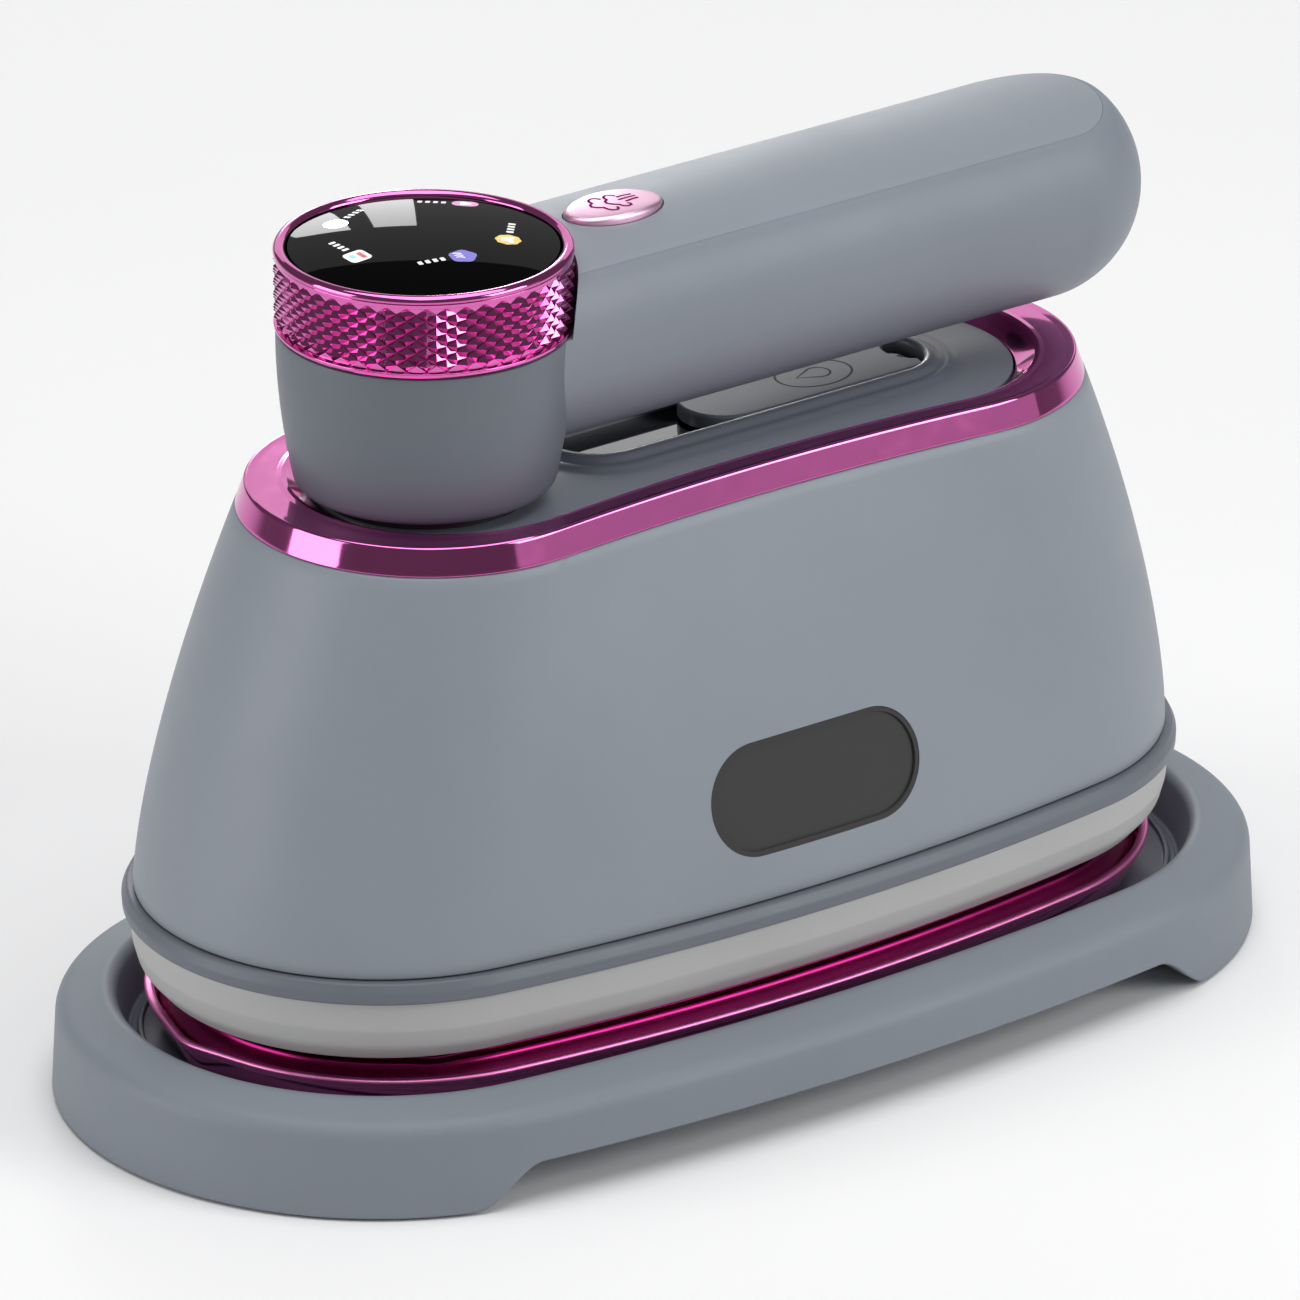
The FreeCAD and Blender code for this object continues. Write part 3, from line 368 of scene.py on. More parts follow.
def circle(radius: float, z: float, cx: float, count: int = 128) -> Ring:
    """Ring of `count` points round (cx, 0) at height z."""
    turns = np.linspace(0.0, 2.0 * math.pi, count, endpoint=False)
    return np.stack((cx + radius * np.cos(turns), radius * np.sin(turns), np.full(count, z)), axis=1)


def ellipse(a: float, b: float, z: float, cx: float, count: int = 96) -> Ring:
    """Elliptical ring with half axes a along the length and b across it."""
    ring = circle(1.0, z, 0.0, count=count)
    ring[:, 0] = cx + a * ring[:, 0]
    ring[:, 1] = b * ring[:, 1]
    return ring


def add_turned(build: bmesh.types.BMesh, profile: Sequence[Point2], cx: float,
               loop: bool = False, count: int = 128) -> None:
    """Adds a turned shape from (radius, height) points.

    Args:
        build: mesh that takes the shape.
        profile: points of the section.
        cx: middle along the length.
        loop: whether the section is closed.
        count: segments round the axis.
    """
    add_rings(build, [circle(r, z, cx, count) for r, z in profile], loop)


def add_plate(build: bmesh.types.BMesh, outline: np.ndarray, z0: float, z1: float,
              edge: float) -> None:
    """Adds a flat plate of any outline with a rounded top edge.

    Args:
        build: mesh that takes the plate.
        outline: (x, y) corners, counter-clockwise.
        z0: underside.
        z1: top face.
        edge: radius of the top edge.
    """
    ahead = np.roll(outline, -1, axis=0) - outline
    behind = outline - np.roll(outline, 1, axis=0)
    along = unit_rows(unit_rows(ahead) + unit_rows(behind))
    inward = np.stack((-along[:, 1], along[:, 0]), axis=1)
    levels = [(0.0, z0)] + arc((edge, z1 - edge), edge, 180.0, 90.0, 4) + [(edge + 0.15, z1)]
    verts = add_skin(build, [np.column_stack((outline + inward * by, np.full(len(outline), z)))
                             for by, z in levels])
    build.faces.new(verts[0][::-1])
    build.faces.new(verts[-1])


def add_ribbon(build: bmesh.types.BMesh, path: Sequence[Point2], width: float,
               height: Callable[[float, float], float], closed: bool = False) -> None:
    """Adds a narrow flat strip that follows a line on a surface.

    Args:
        build: mesh that takes the strip.
        path: (x, y) points of the line.
        width: width of the strip.
        height: height of the surface under a point.
        closed: whether the line returns to its start.
    """
    spots = np.array(path, float)
    if closed:
        ahead, behind = np.roll(spots, -1, axis=0), np.roll(spots, 1, axis=0)
    else:
        ahead = np.vstack((spots[1:], 2 * spots[-1] - spots[-2]))
        behind = np.vstack((2 * spots[0] - spots[1], spots[:-1]))
    along = unit_rows(ahead - behind)
    out = np.stack((-along[:, 1], along[:, 0]), axis=1) * width / 2.0
    left = [build.verts.new(Vector((x, y, height(x, y))) * MM) for x, y in spots + out]
    right = [build.verts.new(Vector((x, y, height(x, y))) * MM) for x, y in spots - out]
    last = len(spots) if closed else len(spots) - 1
    for i in range(last):
        j = (i + 1) % len(spots)
        build.faces.new((right[i], right[j], left[j], left[i]))


def add_patch(build: bmesh.types.BMesh, outline: Sequence[Point2],
              height: Callable[[float, float], float]) -> None:
    """Adds a filled patch on a surface.

    Args:
        build: mesh that takes the patch.
        outline: (x, y) corners, counter-clockwise.
        height: height of the surface under a point.
    """
    build.faces.new([build.verts.new(Vector((x, y, height(x, y))) * MM) for x, y in outline])


def cut_with(piece: bpy.types.Object, cutters: Sequence[bpy.types.Object],
             sharp: float = SHARP) -> bpy.types.Object:
    """Cuts other shapes out of a piece and drops them.

    Args:
        piece: piece that is cut.
        cutters: shapes that are taken away.
        sharp: edges that turn more than this many degrees stay crisp.

    Returns:
        The same piece with its new mesh.
    """
    for cutter in cutters:
        tool = piece.modifiers.new("cut", "BOOLEAN")
        tool.operation = "DIFFERENCE"
        tool.solver = "EXACT"
        tool.object = cutter
    bake_modifiers(piece)
    for cutter in cutters:
        bpy.data.objects.remove(cutter, do_unlink=True)
    shade_mesh(piece.data, sharp)
    return piece


def bake_modifiers(piece: bpy.types.Object) -> bpy.types.Object:
    """Turns a piece and its modifiers into a plain mesh, and returns the piece."""
    bpy.context.view_layer.update()
    graph = bpy.context.evaluated_depsgraph_get()
    mesh = bpy.data.meshes.new_from_object(piece.evaluated_get(graph))
    old = piece.data
    piece.modifiers.clear()
    piece.data = mesh
    bpy.data.meshes.remove(old)
    mesh.name = piece.name
    return piece


def merge(name: str, parts: Sequence[bpy.types.Object], sharp: float = SHARP) -> bpy.types.Object:
    """Joins finished meshes into one piece.

    Args:
        name: name of the joined piece.
        parts: pieces that are used up.
        sharp: edges that turn more than this many degrees stay crisp.

    Returns:
        The joined piece; it has no materials yet, and each face keeps its material index.
    """
    build = bmesh.new()
    for part in parts:
        build.from_mesh(part.data)
        bpy.data.objects.remove(part, do_unlink=True)
    return write_mesh(name, build, sharp)



# ---------------------------------------------------------------- finishes

def fill_ramp(ramp: bpy.types.Node, stops: Sequence[Tuple[float, Sequence[float]]]) -> None:
    """Gives a colour ramp its stops.

    Args:
        ramp: the ramp.
        stops: position and scene colour of each stop.
    """
    elements = ramp.color_ramp.elements
    while len(elements) < len(stops):
        elements.new(0.5)
    for element, (place, colour) in zip(elements, stops):
        element.position = place
        element.color = colour


class Graph:
    """Lays out the nodes of one material round a Principled shader."""

    def __init__(self, name: str) -> None:
        """Starts an empty material called `name`."""
        self.material = bpy.data.materials.new(name)
        self.material.use_nodes = True
        self.tree = self.material.node_tree
        self.tree.nodes.clear()
        self.shader = self.tree.nodes.new("ShaderNodeBsdfPrincipled")
        out = self.tree.nodes.new("ShaderNodeOutputMaterial")
        self.tree.links.new(self.shader.outputs["BSDF"], out.inputs["Surface"])

    def put(self, socket: str, value: object) -> None:
        """Sets a constant on the shader's own socket."""
        self.shader.inputs[socket].default_value = value

    def noise(self, size: float, detail: float = 2.0,
              stretch: Rgb = (1.0, 1.0, 1.0)) -> bpy.types.NodeSocket:
        """Noise on Object coordinates.

        Args:
            size: size of its spots in metres.
            detail: octaves.
            stretch: how much longer the spots are along each axis.

        Returns:
            The factor socket.
        """
        coords = self.tree.nodes.new("ShaderNodeTexCoord")
        place = self.tree.nodes.new("ShaderNodeMapping")
        place.inputs["Scale"].default_value = tuple(1.0 / (size * s) for s in stretch)
        self.tree.links.new(coords.outputs["Object"], place.inputs["Vector"])
        noise = self.tree.nodes.new("ShaderNodeTexNoise")
        noise.inputs["Scale"].default_value = 1.0
        noise.inputs["Detail"].default_value = detail
        self.tree.links.new(place.outputs["Vector"], noise.inputs["Vector"])
        return noise.outputs["Fac"]

    def spread(self, factor: bpy.types.NodeSocket, low: float, high: float) -> bpy.types.NodeSocket:
        """The factor's usual 0.3 to 0.7 spread out from `low` to `high`."""
        node = self.tree.nodes.new("ShaderNodeMapRange")
        for name, value in (("From Min", 0.3), ("From Max", 0.7), ("To Min", low), ("To Max", high)):
            node.inputs[name].default_value = value
        self.tree.links.new(factor, node.inputs["Value"])
        return node.outputs["Result"]

    def tint(self, factor: bpy.types.NodeSocket, colours: Sequence[Tuple[float, Rgb]]) -> None:
        """Colours the shader by a ramp over a factor.

        Args:
            factor: what the ramp reads.
            colours: positions and display colours.
        """
        ramp = self.tree.nodes.new("ShaderNodeValToRGB")
        fill_ramp(ramp, [(place, srgb(colour)) for place, colour in colours])
        self.tree.links.new(factor, ramp.inputs["Fac"])
        self.tree.links.new(ramp.outputs["Color"], self.shader.inputs["Base Color"])

    def mottle(self, colour: Rgb, size: float, detail: float, down: float, up: float) -> None:
        """Colours the shader with soft mottling.

        Args:
            colour: middle display colour.
            size: size of the spots in metres.
            detail: octaves.
            down: how much darker the dark spots are, as a share.
            up: how much lighter the light spots are, as a share.
        """
        self.tint(self.noise(size, detail), [(0.3, shade(colour, -down)), (0.7, shade(colour, up))])

    def roughen(self, factor: bpy.types.NodeSocket, low: float, high: float) -> None:
        """Varies the roughness from `low` to `high` over a factor."""
        self.tree.links.new(self.spread(factor, low, high), self.shader.inputs["Roughness"])

    def bump(self, layers: Sequence[Tuple[bpy.types.NodeSocket, float, float]]) -> None:
        """Adds bump layers.

        Args:
            layers: height socket, strength and depth in metres of each layer.
        """
        normal: Optional[bpy.types.NodeSocket] = None
        for height, strength, depth in layers:
            node = self.tree.nodes.new("ShaderNodeBump")
            node.inputs["Strength"].default_value = strength
            node.inputs["Distance"].default_value = depth
            self.tree.links.new(height, node.inputs["Height"])
            if normal is not None:
                self.tree.links.new(normal, node.inputs["Normal"])
            normal = node.outputs["Normal"]
        if normal is not None:
            self.tree.links.new(normal, self.shader.inputs["Normal"])


def shade(colour: Rgb, by: float) -> Rgb:
    """A display colour made lighter or darker by a share of itself."""
    return tuple(max(0.0, min(255.0, c * (1.0 + by))) for c in colour)


@dataclass(frozen=True)
class Moulded:
    """Injection-moulded plastic with a fine spark-eroded texture."""

    name: str
    colour: Rgb
    rough: float = 0.46
    grain: float = 0.00035
    depth: float = 0.000012
    coat: float = 0.0

    def make(self) -> bpy.types.Material:
        """The material, with a slow drift in tone and a fine grain."""
        g = Graph(self.name)
        g.mottle(self.colour, 0.045, 3.0, 0.018, 0.018)
        g.roughen(g.noise(0.012, 4.0), self.rough - 0.035, self.rough + 0.035)
        g.bump([(g.noise(self.grain, 3.0), 0.35, self.depth), (g.noise(0.02, 1.0), 0.08, 0.0001)])
        g.put("Coat Weight", self.coat)
        g.put("Coat Roughness", 0.25)
        g.put("Specular IOR Level", 0.45)
        return g.material


@dataclass(frozen=True)
class Plated:
    """Tinted bright plating on a moulding."""

    name: str
    colour: Rgb
    rough: float = 0.07
    ripple: float = 0.00002

    def make(self) -> bpy.types.Material:
        """The material, with faint ripple and handling haze."""
        g = Graph(self.name)
        g.put("Metallic", 1.0)
        g.mottle(self.colour, 0.03, 2.0, 0.02, 0.02)
        g.roughen(g.noise(0.004, 4.0), self.rough - 0.025, self.rough + 0.035)
        g.bump([(g.noise(0.006, 1.0), 0.12, self.ripple), (g.noise(0.0004, 2.0), 0.03, 0.000004)])
        return g.material


@dataclass(frozen=True)
class Glossy:
    """Hard clear-faced plastic or glass over a dark or coloured ground."""

    name: str
    colour: Rgb
    rough: float = 0.05
    coat: float = 1.0
    coat_ior: float = 1.5
    spec: float = 0.5
    glow: float = 0.0

    def make(self) -> bpy.types.Material:
        """The material, with fine smears in the gloss."""
        g = Graph(self.name)
        g.mottle(self.colour, 0.01, 2.0, 0.05, 0.05)
        g.roughen(g.noise(0.006, 5.0, (1.0, 2.5, 1.0)), self.rough, self.rough + 0.04)
        g.bump([(g.noise(0.015, 1.0), 0.05, 0.00003)])
        g.put("Coat Weight", self.coat)
        g.put("Coat Roughness", 0.02)
        g.put("Coat IOR", self.coat_ior)
        g.put("Specular IOR Level", self.spec)
        if self.glow > 0.0:
            g.put("Emission Color", srgb(self.colour))
            g.put("Emission Strength", self.glow)
        return g.material


@dataclass(frozen=True)
class Machined:
    """Bare metal: cast, drawn or zinc-plated."""

    name: str
    colour: Rgb
    rough: float = 0.3
    lay: Rgb = (1.0, 1.0, 1.0)
    grain: float = 0.0006

    def make(self) -> bpy.types.Material:
        """The material, with the marks of how it was made."""
        g = Graph(self.name)
        g.put("Metallic", 1.0)
        g.mottle(self.colour, 0.006, 4.0, 0.12, 0.08)
        g.roughen(g.noise(0.002, 4.0, self.lay), self.rough - 0.08, self.rough + 0.12)
        g.bump([(g.noise(self.grain, 3.0, self.lay), 0.3, 0.00002)])
        return g.material


@dataclass(frozen=True)
class Rubbery:
    """Soft rubber or silicone."""

    name: str
    colour: Rgb
    rough: float = 0.65
    clear: float = 0.0

    def make(self) -> bpy.types.Material:
        """The material, with a bloom of fine dust-like mottling."""
        g = Graph(self.name)
        g.mottle(self.colour, 0.002, 4.0, 0.1, 0.12)
        g.roughen(g.noise(0.003, 3.0), self.rough - 0.08, self.rough + 0.08)
        g.bump([(g.noise(0.0005, 3.0), 0.3, 0.00002)])
        g.put("Sheen Weight", 0.12)
        g.put("Transmission Weight", self.clear)
        return g.material


@dataclass(frozen=True)
class Laminate:
    """Printed circuit board with tracks under a green resist."""

    name: str
    board: Rgb = (26, 92, 58)
    track: Rgb = (48, 132, 84)

    def make(self) -> bpy.types.Material:
        """The material, with a net of tracks."""
        g = Graph(self.name)
        coords = g.tree.nodes.new("ShaderNodeTexCoord")
        cells = g.tree.nodes.new("ShaderNodeTexVoronoi")
        cells.distance = "CHEBYCHEV"
        cells.feature = "F1"
        cells.inputs["Scale"].default_value = 320.0
        g.tree.links.new(coords.outputs["Object"], cells.inputs["Vector"])
        g.tint(cells.outputs["Distance"], [(0.28, self.board), (0.36, self.track)])
        g.roughen(g.noise(0.003, 3.0), 0.28, 0.4)
        g.bump([(cells.outputs["Distance"], 0.2, 0.00005)])
        return g.material


class Finish(Enum):
    """Every finish on the steamer."""

    SHELL = Moulded("satin_slate_plastic", (136, 143, 152))
    # Shell plastic darkened by about a quarter, used on the skirt and the turret: painted shade.
    SHADED_SLATE = Moulded("shaded_slate_plastic", (102, 108, 117))
    # Shell plastic made a little darker, used on the grip's sides and underside: painted shade.
    SHADED_GRIP = Moulded("grip_slate_shaded_plastic", (127, 134, 143))
    TRAY = Moulded("matt_slate_plastic", (125, 132, 141), rough=0.52, grain=0.0005)
    POCKET = Moulded("dark_slate_plastic", (96, 103, 113), rough=0.55)
    BAND = Moulded("pale_heatproof_plastic", (181, 181, 180), rough=0.5)
    DECK = Moulded("graphite_plastic", (116, 122, 133), rough=0.36, coat=0.25)
    GROOVE = Moulded("graphite_groove", (34, 37, 42), rough=0.6)
    PANE = Moulded("smoked_window", (38, 38, 39), rough=0.42, coat=0.1)
    MAGENTA = Plated("magenta_plating", (219, 112, 182))
    # Magenta plating made lighter for the sole's top edge: painted highlight.
    EDGE_HIGHLIGHT = Plated("highlight_magenta_plating", (244, 140, 204), rough=0.4)
    # Magenta plating darkened for the collar's hollow waist: painted shade.
    SHADED_MAGENTA = Plated("shaded_magenta_plating", (142, 30, 94), rough=0.24)
    # Magenta plating made pale for the steam button: painted reflection of the light above it.
    FACE = Plated("reflection_magenta_plating", (252, 206, 232), rough=0.38)
    ENGRAVED = Glossy("engraved_magenta", (126, 12, 90), rough=0.6, coat=0.0, spec=0.0)
    LENS = Glossy("black_display_glass", (3, 3, 4), rough=0.03, coat=0.2, spec=0.0)
    TANK = Glossy("smoked_tank_plastic", (12, 13, 15), rough=0.05, coat_ior=2.0)
    CLEAR = Glossy("clear_tank_plastic", (150, 155, 165), rough=0.06, coat_ior=1.8)
    RUBBER = Rubbery("black_rubber", (26, 26, 28))
    SILICONE = Rubbery("clear_silicone", (205, 208, 205), rough=0.35, clear=0.5)
    CASTING = Machined("cast_aluminium", (168, 168, 170), rough=0.42)
    STEEL = Machined("drawn_steel", (175, 176, 178), rough=0.28, lay=(6.0, 1.0, 1.0))
    ZINC = Machined("zinc_plate", (188, 190, 184), rough=0.3)
    BLACK = Moulded("black_nylon", (24, 25, 27), rough=0.5)
    WHITE = Moulded("white_nylon", (214, 214, 208), rough=0.5)
    BOARD = Laminate("green_laminate")
    LAMP_PINK = Glossy("lamp_pink", (205, 96, 178), glow=0.25)
    LAMP_YELLOW = Glossy("lamp_yellow", (226, 188, 40), glow=0.25)
    LAMP_INDIGO = Glossy("lamp_indigo", (84, 74, 186), glow=0.3)
    LAMP_SKY = Glossy("lamp_sky", (140, 205, 226), glow=0.3)
    LAMP_WHITE = Glossy("lamp_white", (228, 228, 226), glow=0.35)
    LAMP_RED = Glossy("lamp_red", (196, 44, 48), glow=0.3)

    def material(self) -> bpy.types.Material:
        """The material of this finish, made once."""
        return bpy.data.materials.get(self.value.name) or self.value.make()


def dress(piece: bpy.types.Object, *finishes: Finish) -> bpy.types.Object:
    """Gives a new piece its finishes in slot order."""
    slots = piece.data.materials
    while len(slots) < len(finishes):
        slots.append(None)
    for place, finish in enumerate(finishes):
        slots[place] = finish.material()
    return piece


def paint_faces(piece: bpy.types.Object, slot: int, test: Callable[[Vector], bool]) -> None:
    """Moves faces to another material slot.

    Args:
        piece: piece whose faces are moved.
        slot: the slot they go to.
        test: says from a face's centre, in millimetres, whether it moves.
    """
    for face in piece.data.polygons:
        if test(Vector(face.center) / MM):
            face.material_index = slot


def install(piece: bpy.types.Object, body: str, slot: str, *nodes: str) -> bpy.types.Object:
    """Puts a finished piece on its body.

    Args:
        piece: the piece.
        body: body that it rides on.
        slot: the record's material slot; not used.
        nodes: CAD nodes that it stands for.

    Returns:
        The piece.
    """
    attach(piece, body)
    if nodes:
        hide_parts(*nodes)
    LOG.info("%s: %d faces on %s", piece.name, len(piece.data.polygons), body)
    return piece


# ---------------------------------------------------------------- stand tray

@dataclass
class StandTray:
    """Tray that the iron stands in, with its pocket mat."""

    half_wid: float = 56.0
    end_r: float = 52.5
    edge: Point2 = (0.8, 15.3)
    lip: Point2 = (10.0, 18.0)
    floor: Point2 = (12.2, 9.5)
    arch_z: float = 7.0
    arch_half: float = 61.5
    foot_start: float = 73.0
    foot_z: float = 0.4
    foot_top: float = 4.0
    mat_in: float = 12.6
    mat_t: float = 0.5
    ribs: Tuple[Point2, ...] = ((13.6, 0.8), (24.0, 0.25), (36.0, 0.25))

    def outline(self) -> Oval:
        """Outer outline at the foot."""
        low, high = span("tray_base")
        return Oval((high[0] - low[0]) / 2.0, self.half_wid, self.end_r,
                    (high[0] + low[0]) / 2.0, ends=140, sides=48)

    def arch(self, x: np.ndarray) -> np.ndarray:
        """Height of the underside: flat arch, S-shaped runs and feet.

        Args:
            x: places along the tray.

        Returns:
            The height over each of them.
        """
        run = np.clip((np.abs(x) - self.arch_half) / (self.foot_start - self.arch_half), 0.0, 1.0)
        return self.foot_z + (self.arch_z - self.foot_z) * (1.0 - ease(run))

    def base(self) -> bpy.types.Object:
        """Tray body: rounded rim, sloping top, pocket and arched underside."""
        corners = [(1.2, self.foot_z), (0.0, self.foot_z), self.edge, self.lip, self.floor,
                   (self.mat_in + 1.5, self.floor[1])]
        section = soften(corners, [0, 0.7, 3.2, 2.0, 0.8, 0], steps=7)
        outline = self.outline()
        rings = []
        for inset, z in section:
            ring = outline.inset(inset).ring(z)
            if z < self.foot_top:
                self.raise_foot(ring, outline.inset(inset + self.edge[0]))
            rings.append(ring)
        return ring_piece("tray_body", rings)

    def raise_foot(self, ring: Ring, drafted: Oval) -> None:
        """Lifts a ring to the arched underside, moving it in with the draft of the wall.

        Args:
            ring: ring that is changed.
            drafted: outline that the ring has at the top edge.
        """
        rise = self.arch(ring[:, 0]) - self.foot_z
        share = (rise / (self.edge[1] - self.foot_z))[:, None]
        ring[:, :2] += (drafted.ring(0.0)[:, :2] - ring[:, :2]) * share
        ring[:, 2] += rise

    def mat(self) -> bpy.types.Object:
        """Pocket mat with the ridge round the sole and two low ribs."""
        low = self.floor[1]
        top = low + self.mat_t
        corners: List[Point2] = [(self.mat_in, low), (self.mat_in, top)]
        for inset, height in self.ribs:
            corners += [(inset, top), (inset + 0.15, top + height), (inset + 0.85, top + height),
                        (inset + 1.0, top)]
        corners.append((40.0, top))
        radii = [0.0] + [0.22] * (len(corners) - 2) + [0.0]
        return ring_piece("pocket_mat", self.outline().stack(soften(corners, radii, steps=3)))

    def build(self) -> None:
        """Builds and dresses the tray."""
        install(dress(self.base(), Finish.TRAY), "tray", "tray_grey", "tray_base")
        install(dress(self.mat(), Finish.POCKET), "tray", "mat_grey", "tray_mat")


# ---------------------------------------------------------------- sole

@dataclass
class Sole:
    """Plated sole plate with its steam holes, and the waisted collar above it."""

    half_len: float = 90.9
    half_wid: float = 43.9
    end_r: float = 40.0
    cx: float = -1.6
    lip: float = 1.8
    # Depth of the top band of the sole that is painted lighter: painted highlight.
    highlight_depth: float = 1.6
    floor_z: float = 13.5
    hole_r: float = 1.1
    collar_t: float = 1.2
    boss: Point2 = (-68.0, 32.6)
    boss_reach: float = 9.0
    boss_out: float = 1.5
    boss_width: float = 3.2
    nose_blunt: Point2 = (0.5, 0.03)
    swell_z: float = 17.5

    def outline(self) -> Oval:
        """Plan of the sole without its nose."""
        return Oval(self.half_len, self.half_wid, self.end_r, self.cx, ends=96, sides=64)

    def nosed(self, inset: float, z: float, tip_x: float) -> Ring:
        """Ring of the sole with the shallow point at its front.

        Args:
            inset: distance inside the outline.
            z: height.
            tip_x: where the point reaches.

        Returns:
            The ring, its front arc drawn out along two tangents.
        """
        ring = self.outline().inset(inset).ring(z)
        centre = self.cx - self.half_len + self.end_r
        radius = self.end_r - inset
        reach = centre - tip_x - inset
        half = math.acos(min(1.0, radius / reach))
        for point in ring:
            angle = math.atan2(point[1], centre - point[0])
            if point[0] < centre and abs(angle) < half:
                far = radius / math.cos(half - abs(angle))
                far -= self.nose_blunt[0] * math.exp(-(angle / self.nose_blunt[1]) ** 2)
                point[0] = centre - far * math.cos(angle)
                point[1] = far * math.sin(angle)
        return ring

    def plate(self) -> bpy.types.Object:
        """Sole plate: flared side, rounded lip and dished top."""
        low, high = span("sole_plate")
        corners = [(5.0, low[2]), (3.5, low[2]), (0.6, high[2] - 1.4), (0.0, high[2]),
                   (self.lip, high[2]), (self.lip, self.floor_z), (self.lip + 1.5, self.floor_z)]
        section = soften(corners, [0, 1.2, 0.5, 0.45, 0.5, 0.6, 0], steps=4)
        piece = ring_piece("sole", [self.nosed(i, z, low[0]) for i, z in section])
        return cut_with(piece, [self.drills(low[2] - 1.0, self.floor_z + 0.8)])

    def drills(self, z0: float, z1: float) -> bpy.types.Object:
        """Steam-hole drills, one on each spot of the pattern.

        Args:
            z0: lower end of each drill.
            z1: upper end of each drill.

        Returns:
            A plain mesh with every drill.
        """
        spots: List[Point2] = [(-80.0 + 8.0 * i, 0.0) for i in range(5)]
        for i in range(9):
            x = -72.0 + 9.0 * i
            half = min(24.0, 6.0 + 0.45 * (x + 84.0))
            spots += [(x, half), (x, -half)]
        build = bmesh.new()
        for x, y in spots:
            build.verts.new(Vector((x, y, (z0 + z1) / 2.0)) * MM)
        piece = finish_mesh("steam_hole_drills", build)
        tree = ScatterTree("steam_hole_scatter")
        drill = tree.add("GeometryNodeMeshCylinder")
        drill.inputs["Vertices"].default_value = 20
        tree.link(tree.size("Hole Radius", self.hole_r * MM), drill.inputs["Radius"])
        tree.link(tree.size("Drill Length", (z1 - z0) * MM), drill.inputs["Depth"])
        tree.scatter(drill.outputs["Mesh"], Finish.MAGENTA)
        return tree.apply(piece)

    def collar(self) -> bpy.types.Object:
        """Waisted wall between the sole and the band, with its two locating bosses."""
        low, high = span("sole_collar")
        corners = [(2.1, low[2]), (2.6, 15.6), (5.6, 18.2), (4.4, 19.8), (2.6, high[2])]
        corners += [(inset + self.collar_t, z) for inset, z in
                    ((2.6, high[2]), (4.4, 19.6), (5.6, 18.2), (2.6, 15.4), (2.1, low[2]))]
        radii = [0.2, 1.5, 1.5, 0.8, 0.3]
        section = soften(corners, radii + radii[::-1], steps=4, closed=True)
        rings = []
        for inset, z in section:
            ring = self.outline().inset(inset).ring(z)
            if z > self.swell_z and inset < 6.0:
                self.swell(ring, (z - self.swell_z) / (high[2] - self.swell_z))
            rings.append(ring)
        return ring_piece("collar", rings, loop=True)

    def swell(self, ring: Ring, share: float) -> None:
        """Pushes a ring outwards round each locating boss.

        Args:
            ring: ring that is changed.
            share: how much of the full swell it gets.
        """
        bx, by = self.boss
        for point in ring:
            near = math.hypot(point[0] - bx, abs(point[1]) - by)
            if near < self.boss_reach:
                out = self.boss_out * share * math.exp(-(near / self.boss_width) ** 2)
                out /= math.hypot(bx, by)
                point[0] += out * bx
                point[1] += math.copysign(out * by, point[1])

    def build(self) -> None:
        """Builds and dresses the sole."""
        plate = self.plate()
        highlight_z = span("sole_plate")[1][2] - self.highlight_depth
        paint_faces(plate, 0, lambda c: True)
        dress(plate, Finish.MAGENTA, Finish.EDGE_HIGHLIGHT)
        # Faces in the top band take the lighter plating: painted highlight.
        paint_faces(plate, 1, lambda c: c.z > highlight_z)
        install(plate, "iron", "magenta_metal", "sole_plate")
        # The collar takes the darkened plating: painted shade in its waist.
        install(dress(self.collar(), Finish.SHADED_MAGENTA), "iron", "magenta_metal", "sole_collar")


# ---------------------------------------------------------------- scattered details

